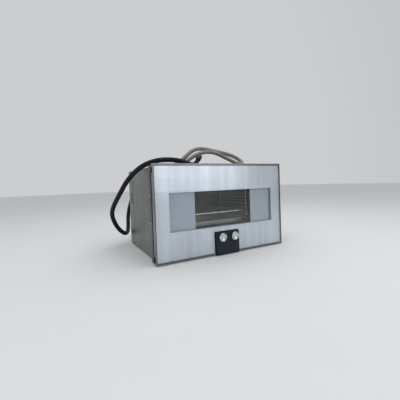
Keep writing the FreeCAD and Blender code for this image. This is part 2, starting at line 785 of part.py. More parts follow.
def make_baffle():
    """The fan baffle: a channel on the rear wall with a round intake grille and side outlets."""
    baffle = new_body("fan_baffle", up=CAVITY_MID)
    half = f"({CAVITY_HALF} - baffle_margin)"
    tall = "(cavity_height / 2 - baffle_margin)"
    pad(baffle, "channel", "Y", BAFFLE_FACE, "cavity_back", rect(minus(half), minus(tall), half, tall))
    inner = f"({half} - baffle_gauge)"
    cut(baffle, "behind", "Y", f"{BAFFLE_FACE} + baffle_gauge", "cavity_back + overcut",
        rect(minus(inner), f"-1 * overcut - {tall}", inner, f"overcut + {tall}"))
    side_slot = cut(baffle, "blow_slot", "X", f"-1 * overcut - {half}", f"overcut + {half}",
                    rect("cavity_back - baffle_depth / 2 - blow_slot_length / 2", "-6 * blow_slot_pitch",
                         "cavity_back - baffle_depth / 2 + blow_slot_length / 2",
                         "blow_slot_width - 6 * blow_slot_pitch"))
    repeat_along(baffle, "blow_slots", side_slot, "Z", "blow_slot_pitch", 12)
    intake = cut(baffle, "intake_slot", "Y", f"{BAFFLE_FACE} - overcut",
                 f"{BAFFLE_FACE} + baffle_gauge + overcut",
                 rect("-1 * intake_width / 2", "intake_inner", "intake_width / 2", "intake_outer"))
    repeat_round(baffle, "intake", intake, "Y", 16)


def make_fan():
    """The hot-air fan: a back plate with swept blades on a hub whose shaft runs in the motor."""
    front = f"({BAFFLE_FACE} + fan_front)"
    plate = f"({BAFFLE_FACE} + fan_front + fan_height)"
    back = f"({BAFFLE_FACE} + fan_front + fan_height + fan_plate)"
    wheel = new_body("fan_wheel", up=CAVITY_MID)
    revolve(wheel, "disc", "Y", outline(
        ("0", front), ("hub_diameter / 2", front), ("hub_diameter / 2", plate), ("fan_diameter / 2", plate),
        ("fan_diameter / 2", back), ("shaft_diameter / 2", back),
        ("shaft_diameter / 2", f"{back} + shaft_length"),
        ("0", f"{back} + shaft_length"),
    ))
    blade = pad(wheel, "blade", "Y", front, f"{plate} + fan_plate / 2", outline(
        ("0", "blade_inner"), ("blade_gauge", "blade_inner"),
        ("blade_sweep + blade_gauge", "fan_diameter / 2 - blade_gauge"),
        ("blade_sweep", "fan_diameter / 2 - blade_gauge"),
    ))
    repeat_round(wheel, "blades", blade, "Y", 12)

    motor = new_body("fan_motor", up=CAVITY_MID)
    bore = "(shaft_diameter / 2 + running_fit)"
    flange_back = f"({LINER_BACK} + motor_plate)"
    bell = f"({WOOL_BACK} + motor_plate)"
    tail = f"({WOOL_BACK} + motor_plate + motor_length)"
    blind = f"({back} + shaft_length + shaft_gap)"
    revolve(motor, "housing", "Y", outline(
        (bore, LINER_BACK), ("motor_flange / 2", LINER_BACK), ("motor_flange / 2", flange_back),
        ("motor_neck / 2", flange_back), ("motor_neck / 2", bell), ("motor_diameter / 2", bell),
        ("motor_diameter / 2", tail), ("0", tail), ("0", blind), (bore, blind),
    ))

    heater = new_body("ring_heater", up=CAVITY_MID)
    ring_back = "(cavity_back - heater_setback)"
    plate_face = "(cavity_back - heater_plate)"
    revolve(heater, "ring", "Y", circle("heater_ring / 2", ring_back, "heater_rod / 2"),
            sweep="heater_sweep")
    across = "(heater_ring / 2 * cos(heater_sweep / 2))"
    up = "(heater_ring / 2 * sin(heater_sweep / 2))"
    legs = [circle(across, height, "heater_rod / 2") for height in (up, minus(up))]
    pad(heater, "legs", "Y", ring_back, f"{plate_face} + heater_plate / 2", *legs)
    pad(heater, "plate", "Y", plate_face, "cavity_back",
        rect(f"{across} - heater_rod", f"-1 * heater_rod - {up}", f"{across} + heater_rod",
             f"heater_rod + {up}"))
    pins = [circle(across, height, "heater_rod / 2 - baffle_gauge / 2") for height in (up, minus(up))]
    pad(heater, "pins", "Y", "cavity_back - heater_plate / 2", f"{LINER_BACK} + heater_pin", *pins)


def make_rack(label, side):
    """A side rack of bent rods: two uprights, four levels of paired rails and four pegs to the wall."""
    rack = new_body(label)
    upright = f"({side} * ({CAVITY_HALF} - rack_gap))"
    rail = f"({side} * {RAIL_HALF})"
    rear = "(rack_front + rack_span)"
    pad(rack, "uprights", "Z", "cavity_low + rack_overrun", f"{CAVITY_TOP} - rack_overrun",
        circle(upright, "rack_front", "rod_diameter / 2"), circle(upright, rear, "rod_diameter / 2"))
    rails = []
    for level in range(4):
        height = f"(rail_low + {level} * rail_pitch)"
        rails.append(circle(rail, height, "rail_diameter / 2"))
        rails.append(circle(rail, f"{height} + rail_throat", "rail_diameter / 2"))
    pad(rack, "rails", "Y", "rack_front - rack_overrun", f"{rear} + rack_overrun", *rails)
    pegs = []
    for back in ("rack_front", rear):
        for height in ("cavity_low + 2 * rack_overrun", f"{CAVITY_TOP} - 2 * rack_overrun"):
            pegs.append(circle(back, height, "rod_diameter / 3"))
    if side < 0:
        pad(rack, "pegs", "X", minus(CAVITY_HALF), upright, *pegs)
    else:
        pad(rack, "pegs", "X", upright, CAVITY_HALF, *pegs)


def make_shelf():
    """The wire shelf: a rod frame with cross wires lying on its front and rear rods."""
    shelf = new_body("wire_shelf")
    back = "(shelf_front + shelf_depth)"
    rod = "rod_diameter / 2"
    pad(shelf, "sides", "Y", "shelf_front", back, circle(minus(SHELF_HALF), SHELF_MID, rod),
        circle(SHELF_HALF, SHELF_MID, rod))
    pad(shelf, "ends", "X", minus(SHELF_HALF), SHELF_HALF,
        circle(f"shelf_front + {rod}", SHELF_MID, rod), circle(f"{back} - {rod}", SHELF_MID, rod))
    wire = pad(shelf, "wire", "Y", "shelf_front", back,
               circle("-6 * wire_pitch", f"{SHELF_MID} + {rod}", "wire_diameter / 2"))
    repeat_along(shelf, "wires", wire, "X", "wire_pitch", 13)


def make_tray():
    """The perforated steam tray: a shallow pan with a rim on the rails and rows of slots in its floor."""
    tray = new_body("perforated_tray")
    half = f"({TRAY_HALF} - tray_rim)"
    floor = f"({TRAY_RIM_LOW} - tray_sink)"
    rim_top = f"({TRAY_RIM_LOW} + tray_gauge)"
    inner = f"({half} - tray_gauge)"
    pad(tray, "rim", "Z", TRAY_RIM_LOW, rim_top,
        rounded(minus(TRAY_HALF), "shelf_front", TRAY_HALF, "shelf_front + shelf_depth",
                "cavity_radius / 2"))
    pad(tray, "pan", "Z", floor, rim_top, rounded(minus(half), PAN_FRONT, half, PAN_END, "cavity_radius"))
    cut(tray, "inside", "Z", f"{floor} + tray_gauge", f"{rim_top} + overcut",
        rounded(minus(inner), f"{PAN_FRONT} + tray_gauge", inner, f"{PAN_END} - tray_gauge",
                "cavity_radius - tray_gauge"))
    front = "(shelf_front + shelf_depth / 2 - 4 * slot_pitch_deep)"
    slots = []
    for across in range(-3, 4):
        middle = f"{across} * slot_pitch_across"
        slots.append(rect(f"{middle} - slot_length / 2", f"{front} - slot_width / 2",
                          f"{middle} + slot_length / 2", f"{front} + slot_width / 2"))
    row = cut(tray, "slot_row", "Z", f"{floor} - overcut", f"{floor} + tray_gauge + overcut", *slots)
    repeat_along(tray, "slots", row, "Y", "slot_pitch_deep", 9)


# Cooling air

def make_blower():
    """The cross-flow cooling blower on the insulation, and the duct that leads to the front outlets."""
    top = f"({WOOL_TOP} + blower_height)"
    inner_top = f"({WOOL_TOP} + blower_height - frame_gauge)"
    floor_top = f"({WOOL_TOP} + frame_gauge)"
    rear_inner = f"({BLOWER_BACK} - frame_gauge)"
    outer_half = f"({DUCT_HALF} + frame_gauge)"
    housing = new_body("blower_housing")
    pad(housing, "scroll", "X", minus(outer_half), outer_half, outline(
        (BLOWER_FRONT, WOOL_TOP), (BLOWER_BACK, WOOL_TOP), (BLOWER_BACK, top), (DRUM_BACK, top),
        (DRUM_BACK, inner_top), (rear_inner, inner_top), (rear_inner, floor_top), (BLOWER_FRONT, floor_top),
    ))
    cheek = rect(BLOWER_FRONT, WOOL_TOP, BLOWER_BACK, top)
    pad(housing, "left_cheek", "X", minus(outer_half), minus(DUCT_HALF), cheek)
    pad(housing, "right_cheek", "X", DUCT_HALF, outer_half, cheek)
    bore = circle(DRUM_BACK, DRUM_MID, "axle_diameter / 2 + running_fit")
    cut(housing, "bearings", "X", f"-1 * overcut - {outer_half}", f"overcut + {outer_half}", bore)

    wheel = new_body("blower_wheel", back=DRUM_BACK, up=DRUM_MID)
    rim = "drum_diameter / 2"
    axle = f"({DRUM_HALF} + axle_overrun)"
    pad(wheel, "axle", "X", minus(axle), axle, circle("0", "0", "axle_diameter / 2"))
    for name, start in (("left_rim", minus(DRUM_HALF)), ("mid_rim", "-0.5 * drum_rim"),
                        ("right_rim", f"{DRUM_HALF} - drum_rim")):
        pad(wheel, name, "X", start, f"{start} + drum_rim", circle("0", "0", rim))
    vane = pad(wheel, "vane", "X", minus(DRUM_HALF), DRUM_HALF, outline(
        ("0", f"{rim} - drum_vane"), ("blade_gauge / 2", f"{rim} - drum_vane"),
        ("drum_vane / 2 + blade_gauge / 2", f"{rim} - blade_gauge"),
        ("drum_vane / 2", f"{rim} - blade_gauge"),
    ))
    repeat_round(wheel, "vanes", vane, "X", 14)

    motor = new_body("blower_motor")
    start = f"({DUCT_HALF} + frame_gauge)"
    pad(motor, "can", "X", start, f"{start} + blower_motor_length",
        circle(DRUM_BACK, DRUM_MID, "blower_motor_diameter / 2"))
    cut(motor, "bearing", "X", f"{start} - overcut", f"{axle} + shaft_gap", bore)

    duct = new_body("air_duct")
    inner = f"({DUCT_HALF} - sheet_gauge)"
    crown = f"({WOOL_TOP} + duct_height)"
    ceiling = f"({WOOL_TOP} + duct_height - sheet_gauge)"
    pad(duct, "channel", "Y", FRAME_INNER, BLOWER_FRONT, outline(
        (minus(DUCT_HALF), WOOL_TOP), (minus(inner), WOOL_TOP), (minus(inner), ceiling), (inner, ceiling),
        (inner, WOOL_TOP), (DUCT_HALF, WOOL_TOP), (DUCT_HALF, crown), (minus(DUCT_HALF), crown),
    ))


# Water

def make_steam():
    """The boiler on the base pan, its feed pipe from the inlet valve and its steam pipe to the cavity."""
    boiler = new_body("steam_boiler", "-1 * boiler_across", "boiler_back")
    wall = "boiler_diameter / 2"
    top = f"({PAN_TOP} + boiler_height)"
    revolve(boiler, "vessel", "Z", outline(
        ("0", PAN_TOP), (wall, PAN_TOP), (wall, f"{top} - 2 * boiler_dome"),
        ("boiler_diameter / 3", f"{top} - boiler_dome"), ("boiler_neck / 2", f"{top} - boiler_dome"),
        ("boiler_neck / 2", top), ("0", top),
    ))
    pad(boiler, "port", "Y", "0", "port_reach", circle("0", "port_height", "port_diameter / 2"))
    steam = elbow("steam_pipe", "Y", "boiler_back", ("-1 * boiler_across", top),
                  (minus(LINER_HALF), "steam_height"),
                  "tube_bend", "tube_diameter")
    feed = elbow("feed_pipe", "X", "-1 * boiler_across", ("valve_back", "valve_height - valve_width / 2"),
                 ("boiler_back + port_reach", "port_height"), "tube_bend", "tube_diameter")
    group("boiler_pipes", [steam, feed])

    valve = new_body("inlet_valve", "-1 * boiler_across", up="valve_height")
    half = "valve_width / 2"
    plate = f"({REAR_INNER} - valve_plate)"
    pad(valve, "block", "Y", f"{REAR_INNER} - valve_depth", plate,
        rect(f"-1 * {half}", f"-1 * {half}", half, half))
    pad(valve, "flange", "Y", plate, REAR_INNER, circle("0", "0", "valve_width * 0.6"))
    pad(valve, "spigot", "Y", f"{plate} + valve_plate / 2", REAR_END,
        circle("0", "0", "spigot_diameter / 2"))
    pad(valve, "solenoid", "Z", half, f"{half} + solenoid_height",
        circle("0", "valve_back", "solenoid_diameter / 2"))
    cut(valve, "bore", "Y", "body_depth + valve_plate", f"{REAR_END} + overcut",
        circle("0", "0", "spigot_bore / 2"))

    nut = new_body("inlet_union_nut", "-1 * boiler_across", up="valve_height")
    start = "(body_depth + nut_start)"
    end = "(body_depth + nut_start + nut_length)"
    flat = "(nut_width / 2)"
    corner = "(nut_width / sqrt(3))"
    pad(nut, "hexagon", "Y", start, end, outline(
        (corner, "0"), (f"{corner} / 2", flat), (f"{corner} / -2", flat),
        (minus(corner), "0"), (f"{corner} / -2", minus(flat)), (f"{corner} / 2", minus(flat)),
    ))
    cut(nut, "thread", "Y", f"{start} - overcut", f"{end} - nut_wall",
        circle("0", "0", "spigot_diameter / 2 + nut_gap"))
    cut(nut, "waterway", "Y", f"{end} - nut_wall - overcut", f"{end} + overcut",
        circle("0", "0", "spigot_bore / 2"))


def make_drain():
    """The sump pipe under the cavity, the drain pump on the base pan and the drain pipe out of the rear."""
    level = "-1 * drain_across"
    sump = elbow("sump_pipe", "X", level, ("sump_back", LINER_LOW), ("pump_back - pump_port", "sump_low"),
                 "drain_bend", "drain_diameter")
    pump = new_body("drain_pump", level)
    rim = "pump_diameter / 2"
    pad(pump, "volute", "Y", "pump_back", "pump_back + pump_length", circle("0", "sump_low", rim))
    pad(pump, "inlet", "Y", "pump_back - pump_port", "pump_back + pump_port",
        circle("0", "sump_low", "drain_diameter / 2"))
    pad(pump, "foot", "Z", PAN_TOP, "sump_low",
        rect(f"-1 * {rim} * 0.8", "pump_back + pump_port / 2", f"{rim} * 0.8",
             "pump_back + pump_length - pump_port / 2"))
    pad(pump, "outlet", "Z", "sump_low", f"sump_low + {rim} + pump_stub",
        circle("0", "riser_back", "drain_diameter / 2"))
    riser = elbow("drain_riser", "X", level, ("riser_back", f"sump_low + {rim} + pump_stub"),
                  (REAR_END, "drain_height"),
                  "drain_bend", "drain_diameter")
    group("drain_pipes", [sump, riser])
    cuff = new_body("drain_cuff", level, up="drain_height")
    start = "(body_depth + cuff_start)"
    end = "(body_depth + cuff_start + cuff_length)"
    bore = "(drain_diameter / 2 + nut_gap)"
    mid = f"({start} + cuff_length / 2)"
    revolve(cuff, "sleeve", "Y", outline(
        (bore, start), ("cuff_diameter / 2", start), ("cuff_diameter / 2", mid),
        ("drain_hose_diameter / 2", f"{mid} + nut_wall"), ("drain_hose_diameter / 2", end),
        ("spigot_bore / 2", end), ("spigot_bore / 2", f"{REAR_END} + nut_gap"),
        (bore, f"{REAR_END} + nut_gap"),
    ))


# Electrics

def make_electrics():
    """The power board on its carrier, and the mains terminal box with its gland in the rear cover."""
    carrier = new_body("board_carrier")
    face = "(carrier_across - carrier_gauge)"
    end = "(carrier_front + carrier_length)"
    pad(carrier, "angle", "Y", "carrier_front", end, outline(
        (face, PAN_TOP), ("carrier_across + carrier_foot", PAN_TOP),
        ("carrier_across + carrier_foot", f"{PAN_TOP} + carrier_gauge"),
        ("carrier_across", f"{PAN_TOP} + carrier_gauge"), ("carrier_across", "carrier_height"),
        (face, "carrier_height"),
    ))
    board = new_body("power_board")
    copper = f"({face} - power_gauge)"
    low = f"({PAN_TOP} + power_margin)"
    pad(board, "laminate", "X", copper, face,
        rect("carrier_front + power_margin", low, f"{end} - power_margin", "carrier_height - power_margin"))
    first = f"({low} + power_margin)"
    fin = pad(board, "heatsink_fin", "X", f"{copper} - heatsink_depth", f"{copper} + power_gauge / 2",
              rect("carrier_front + 2 * power_margin", first,
                   "carrier_front + 2 * power_margin + heatsink_height", f"{first} + heatsink_fin"))
    repeat_along(board, "heatsink", fin, "Z", "heatsink_pitch", 6)
    relay = pad(board, "relay", "X", f"{copper} - heatsink_depth / 2", f"{copper} + power_gauge / 2",
                rect(f"{end} - 5 * power_margin", first, f"{end} - 3 * power_margin",
                     f"{first} + 3 * power_margin"))
    repeat_along(board, "relays", relay, "Z", "4 * power_margin", 5)

    box = new_body("terminal_box", "mains_across", up="mains_height")
    half = "terminal_width / 2"
    tall = "terminal_height / 2"
    pad(box, "case", "Y", f"{REAR_INNER} - terminal_depth", REAR_INNER,
        rect(f"-1 * {half}", f"-1 * {tall}", half, tall))
    cut(box, "wiring", "Y", f"{REAR_INNER} - terminal_depth + carrier_gauge", f"{REAR_INNER} + overcut",
        rect(f"carrier_gauge - {half}", f"carrier_gauge - {tall}", f"{half} - carrier_gauge",
             f"{tall} - carrier_gauge"))

    gland = new_body("mains_gland", "mains_across", up="mains_height")
    lip = "mains_bore / 2"
    revolve(gland, "body", "Y", outline(
        (lip, "body_depth"), ("gland_diameter / 2", "body_depth"),
        ("gland_diameter / 2", "body_depth + rear_reach / 3"),
        ("gland_collar / 2", "body_depth + rear_reach / 2"),
        ("gland_collar / 2", "body_depth + rear_reach - sheet_gauge"),
        ("gland_collar / 2 - sheet_gauge", REAR_END), (lip, REAR_END),
    ))


# Control module

def make_module():
    """The control module: a housing on the front frame, its panel, display, board and encoders."""
    housing = new_body("module_housing")
    back_wall = f"({FRAME_FACE} - module_gauge)"
    inner = f"({MODULE_HALF} - module_gauge)"
    pad(housing, "shell", "Y", PANEL_BACK, FRAME_FACE,
        rounded(minus(MODULE_HALF), MODULE_LOW, MODULE_HALF, MODULE_TOP, "module_radius"))
    cut(housing, "inside", "Y", f"{PANEL_BACK} - overcut", back_wall,
        rect(minus(inner), f"{MODULE_LOW} + module_gauge", inner, f"{MODULE_TOP} - module_gauge"))
    bosses = []
    reach = f"({MODULE_HALF} - 2 * board_margin)"
    for across in (minus(reach), reach):
        for up in (f"{MODULE_LOW} + 2 * board_margin", f"{MODULE_TOP} - 2 * board_margin"):
            bosses.append(circle(across, up, "boss_diameter / 2"))
    pad(housing, "bosses", "Y", f"{BOARD_FRONT} + board_gauge", f"{back_wall} + module_gauge / 2", *bosses)
    cut(housing, "cable_hole", "Y", f"{back_wall} - overcut", f"{FRAME_FACE} + overcut",
        circle("0", "door_lift + knob_height", "boss_diameter"))

    panel = new_body("module_panel")
    pad(panel, "pane", "Y", PANEL_FACE, PANEL_BACK,
        rounded(minus(MODULE_HALF), MODULE_LOW, MODULE_HALF, MODULE_TOP, "module_radius"))
    holes = [circle(f"{side} * knob_pitch / 2", "door_lift + knob_height",
                    "bushing_diameter / 2 + bushing_gap") for side in (-1, 1)]
    cut(panel, "holes", "Y", f"{PANEL_FACE} - overcut", f"{PANEL_BACK} + overcut", *holes)

    display = new_body("display_unit")
    low = f"({MODULE_LOW} + display_rise)"
    pad(display, "screen", "Y", PANEL_BACK, f"{PANEL_BACK} + display_depth",
        rect("-1 * display_width / 2", low, "display_width / 2", f"{low} + display_height"))

    board = new_body("control_board")
    half = f"({MODULE_HALF} - board_margin)"
    pad(board, "laminate", "Y", BOARD_FRONT, f"{BOARD_FRONT} + board_gauge",
        rect(minus(half), f"{MODULE_LOW} + board_margin", half, f"{MODULE_TOP} - board_margin"))

    encoders = []
    for side in (-1, 1):
        encoder = new_body("encoder", f"{side} * knob_pitch / 2", up="door_lift + knob_height", keep=False)
        width = "encoder_width / 2"
        pad(encoder, "case", "Y", ENCODER_FRONT, BOARD_FRONT,
            rect(f"-1 * {width}", f"-1 * {width}", width, width))
        pad(encoder, "bushing", "Y", f"{PANEL_BACK} - panel_gauge / 3", f"{ENCODER_FRONT} + board_gauge",
            circle("0", "0", "bushing_diameter / 2"))
        cut(encoder, "bearing", "Y", f"{PANEL_FACE}", f"{BOARD_FRONT} - board_gauge",
            circle("0", "0", "stem_diameter / 2 + running_fit"))
        encoders.append(encoder)
    group("rotary_encoders", encoders)


def make_knob(label, side):
    """A spun-metal knob with a dished face, a rolled rim and a stem that runs in its encoder."""
    knob = new_body(label, f"{side} * knob_pitch / 2", up="door_lift + knob_height")
    rim = "(knob_diameter / 2)"
    face = "(-1 * knob_reach)"
    base = "(-1 * module_proud - knob_clear)"
    stem = "stem_diameter / 2"
    revolve(knob, "turning", "Y", outline(
        ("0", f"{face} + knob_dish"), (f"{rim} * 0.72", f"{face}"), (f"{rim} - knob_rim", face),
        (rim, f"{face} + knob_rim"),
        (rim, f"{base} - 2 * knob_rim"), (f"{rim} - knob_rim", f"{base} - 1.5 * knob_rim"),
        (f"{rim} - knob_rim", base),
        (stem, base), (stem, f"{base} + stem_length"), ("0", f"{base} + stem_length"),
    ))


# Door

def door_outline(half, low, top, notch_half, notch_top):
    """The door's outline with its notch round the control module."""
    return outline(
        (minus(half), low), (minus(notch_half), low), (minus(notch_half), notch_top),
        (notch_half, notch_top),
        (notch_half, low), (half, low), (half, top), (minus(half), top),
    )


def make_panes():
    """The outer glass, the steel facing behind it, the window mask with its flanks and the two inner panes."""
    pane = door_outline(
        f"({DOOR_HALF} - trim_side - trim_seam)", "(door_lift + trim_low + trim_seam)",
        f"({DOOR_TOP} - trim_top - trim_seam)",
        f"({NOTCH_HALF} + trim_side + trim_seam)", f"({NOTCH_TOP} + trim_side + trim_seam)",
    )
    band = rect("-1 * band_width / 2", BAND_LOW, "band_width / 2", BAND_TOP)
    window = rect("-1 * window_width / 2", BAND_LOW, "window_width / 2", BAND_TOP)
    glass = new_body("door_glass")
    pad(glass, "pane", "Y", "0", "glass_gauge", pane)
    facing = new_body("door_facing")
    pad(facing, "steel", "Y", "glass_gauge", FACING_BACK, pane)
    cut(facing, "band", "Y", "glass_gauge - overcut", f"{FACING_BACK} + overcut", band)

    mask = new_body("door_window_mask")
    half = "(band_width / 2 + mask_margin)"
    low = f"({BAND_LOW} - mask_margin)"
    top = f"({BAND_TOP} + mask_margin)"
    back = f"({FACING_BACK} + mask_depth)"
    pad(mask, "tray", "Y", FACING_BACK, back, rect(minus(half), low, half, top))
    cut(mask, "inside", "Y", f"{FACING_BACK} - overcut", f"{back} - mask_gauge",
        rect(f"mask_gauge - {half}", f"{low} + mask_gauge", f"{half} - mask_gauge", f"{top} - mask_gauge"))
    cut(mask, "window", "Y", f"{back} - mask_gauge - overcut", f"{back} + overcut", window)

    inner = new_body("door_inner_glass")
    margin = "(gasket_gap + gasket_width + gasket_gap)"
    pad(inner, "pane", "Y", SHELL_BACK, "door_depth",
        rounded(f"-1 * ({CAVITY_HALF} + {margin})", f"cavity_low - {margin}", f"{CAVITY_HALF} + {margin}",
                f"{CAVITY_TOP} + {margin}", "cavity_radius"))
    middle = new_body("door_middle_glass")
    plate = f"({SHELL_BACK} - shell_gauge)"
    wide = "(window_width / 2 + 2 * pane_margin)"
    pad(middle, "pane", "Y", f"{plate} - pane_gauge", plate,
        rect(minus(wide), f"{BAND_LOW} - pane_margin", wide, f"{BAND_TOP} + 2 * pane_margin"))


def make_shell():
    """The door shell behind the trims: a pressed tray with the window opening and two hinge pockets."""
    shell = new_body("door_shell")
    low = "(door_lift + trim_low / 2)"
    top = f"({DOOR_TOP} - trim_top / 2)"
    gauge = "shell_gauge"
    plate = f"({SHELL_BACK} - shell_gauge)"
    pad(shell, "tray", "Y", "trim_depth", SHELL_BACK,
        door_outline(SHELL_HALF, low, top, NOTCH_HALF, NOTCH_TOP))
    cut(shell, "inside", "Y", "trim_depth - overcut", plate, door_outline(
        f"({SHELL_HALF} - {gauge})", f"({low} + {gauge})", f"({top} - {gauge})",
        f"({NOTCH_HALF} + {gauge})", f"({NOTCH_TOP} + {gauge})"))
    cut(shell, "window", "Y", f"{plate} - overcut", f"{SHELL_BACK} + overcut",
        rect("-1 * window_width / 2 - pane_margin", BAND_LOW, "window_width / 2 + pane_margin",
             f"{BAND_TOP} + pane_margin"))
    pocket_in = "(pocket_width - door_width / 2)"
    cut(shell, "hinge_pockets", "Y", "trim_depth - overcut", f"{SHELL_BACK} + overcut",
        rect(f"-1 * overcut - {DOOR_HALF}", HINGE_UPPER, pocket_in, f"{HINGE_UPPER} + pocket_height"),
        rect(f"-1 * overcut - {DOOR_HALF}", f"{HINGE_LOWER} - overcut", pocket_in,
             f"{HINGE_LOWER} + pocket_height"))


def make_trims():
    """The door's edge trims: rebated bars along the top, the bottom and the sides, and round the notch."""
    wide = f"({DOOR_HALF} - {TRIM_INNER})"
    top = new_body("door_top_trim")
    pad(top, "bar", "Y", "0", "trim_depth",
        rect(minus(DOOR_HALF), f"{DOOR_TOP} - trim_top", DOOR_HALF, DOOR_TOP))
    pad(top, "rebate", "Y", FACING_BACK, "trim_depth",
        rect(minus(wide), f"{DOOR_TOP} - trim_top - trim_rebate", wide, f"{DOOR_TOP} - trim_top / 2"))

    lows, sides = [], []
    notch = f"({NOTCH_HALF} + trim_side)"
    notch_in = f"({NOTCH_HALF} + {TRIM_INNER})"
    for side in (-1, 1):
        def span(first, last, low, high):
            ends = (minus(last), minus(first)) if side < 0 else (first, last)
            return rect(ends[0], low, ends[1], high)
        bar = new_body("bottom_bar", keep=False)
        pad(bar, "bar", "Y", "0", "trim_depth", span(notch, DOOR_HALF, "door_lift", "door_lift + trim_low"))
        pad(bar, "rebate", "Y", FACING_BACK, "trim_depth",
            span(notch_in, wide, "door_lift + trim_low / 2", "door_lift + trim_low + trim_rebate"))
        lows.append(bar)
        post = new_body("side_bar", keep=False)
        pad(post, "lip", "Y", "0", "trim_depth",
            span(f"({DOOR_HALF} - trim_side)", DOOR_HALF, "door_lift + trim_low", f"{DOOR_TOP} - trim_top"))
        pad(post, "rebate", "Y", FACING_BACK, "trim_depth",
            span(wide, f"({DOOR_HALF} - trim_side / 2)", "door_lift + trim_low", f"{DOOR_TOP} - trim_top"))
        sides.append(post)
    group("door_bottom_trims", lows)
    group("door_side_trims", sides)

    arch = new_body("door_notch_trim")
    crown = f"({NOTCH_TOP} + trim_side)"
    crown_in = f"({NOTCH_TOP} + {TRIM_INNER})"
    def arched(outer, peak):
        return outline(
            (minus(outer), "door_lift"), (minus(NOTCH_HALF), "door_lift"), (minus(NOTCH_HALF), NOTCH_TOP),
            (NOTCH_HALF, NOTCH_TOP),
            (NOTCH_HALF, "door_lift"), (outer, "door_lift"), (outer, peak), (minus(outer), peak),
        )
    pad(arch, "lip", "Y", "0", "trim_depth", arched(notch, crown))
    cheek_low = "(door_lift + trim_low)"
    pad(arch, "rebate", "Y", FACING_BACK, "trim_depth", outline(
        (minus(notch_in), cheek_low), (minus(NOTCH_HALF), cheek_low), (minus(NOTCH_HALF), NOTCH_TOP),
        (NOTCH_HALF, NOTCH_TOP),
        (NOTCH_HALF, cheek_low), (notch_in, cheek_low), (notch_in, crown_in), (minus(notch_in), crown_in),
    ))


def make_hinges():
    """Both hinges: a bracket with an arm on the frame, a pin in the arm and a leaf with its eye on the door."""
    pins, brackets, leaves = [], [], []
    plate_front = f"({FRAME_FACE} - bracket_gauge)"
    knuckle = "knuckle_diameter / 2"
    for foot in (HINGE_UPPER, HINGE_LOWER):
        arm_low = f"({foot} + arm_rise)"
        arm_top = f"({foot} + arm_rise + arm_height)"
        leaf_low = f"({arm_top} + hinge_play)"
        leaf_top = f"({arm_top} + hinge_play + leaf_height)"
        bracket = new_body("hinge_bracket", HINGE_X, keep=False)
        pad(bracket, "plate", "Y", plate_front, FRAME_FACE,
            rect(f"-1 * {knuckle} + 3 * bracket_gauge", f"{foot} + bracket_gauge",
                 "leaf_width - bracket_gauge", f"{foot} + pocket_height"))
        pad(bracket, "arm", "Z", arm_low, arm_top,
            rect(f"-1 * {knuckle} + bracket_gauge", "hinge_depth", knuckle, FRAME_FACE))
        pad(bracket, "knuckle", "Z", arm_low, arm_top, circle("0", "hinge_depth", knuckle))
        cut(bracket, "pin_hole", "Z", f"{arm_low} - overcut", f"{arm_top} + overcut",
            circle("0", "hinge_depth", "pin_diameter / 2"))
        brackets.append(bracket)

        pin = new_body("hinge_pin", HINGE_X, "hinge_depth", keep=False)
        barrel = "pin_diameter / 2"
        revolve(pin, "pin", "Z", outline(
            ("0", f"{arm_low} - pin_head"), (f"{barrel} + pin_head", f"{arm_low} - pin_head"),
            (f"{barrel} + pin_head", arm_low),
            (barrel, arm_low), (barrel, f"{leaf_top} - pin_head"), ("0", f"{leaf_top} - pin_head"),
        ))
        pins.append(pin)

        leaf = new_body("hinge_leaf", HINGE_X, keep=False)
        pad(leaf, "flap", "Z", leaf_low, leaf_top,
            rect("trim_side / 2 - hinge_inset", "trim_depth", "leaf_width - hinge_inset",
                 "trim_depth + leaf_gauge"))
        pad(leaf, "web", "Z", leaf_low, leaf_top,
            rect("-1 * leaf_gauge", "trim_depth + leaf_gauge / 2", "leaf_gauge", "hinge_depth"))
        pad(leaf, "eye", "Z", leaf_low, leaf_top, circle("0", "hinge_depth", knuckle))
        cut(leaf, "pin_hole", "Z", f"{leaf_low} - overcut", f"{leaf_top} + overcut",
            circle("0", "hinge_depth", "pin_diameter / 2 + running_fit"))
        leaves.append(leaf)
    group("hinge_brackets", brackets)
    group("hinge_pins", pins)
    group("hinge_leaves", leaves)

    magnet = new_body("door_magnet", f"{FRAME_HALF} - magnet_inset", up=CAVITY_MID)
    pad(magnet, "block", "Y", f"{SHELL_BACK} + magnet_gap", FRAME_FACE,
        rounded("-1 * magnet_width / 2", "-1 * magnet_height / 2", "magnet_width / 2", "magnet_height / 2",
                "module_radius"))


# Hoses: routes in the part's own frame, chosen by hand; the first two points follow the fitting

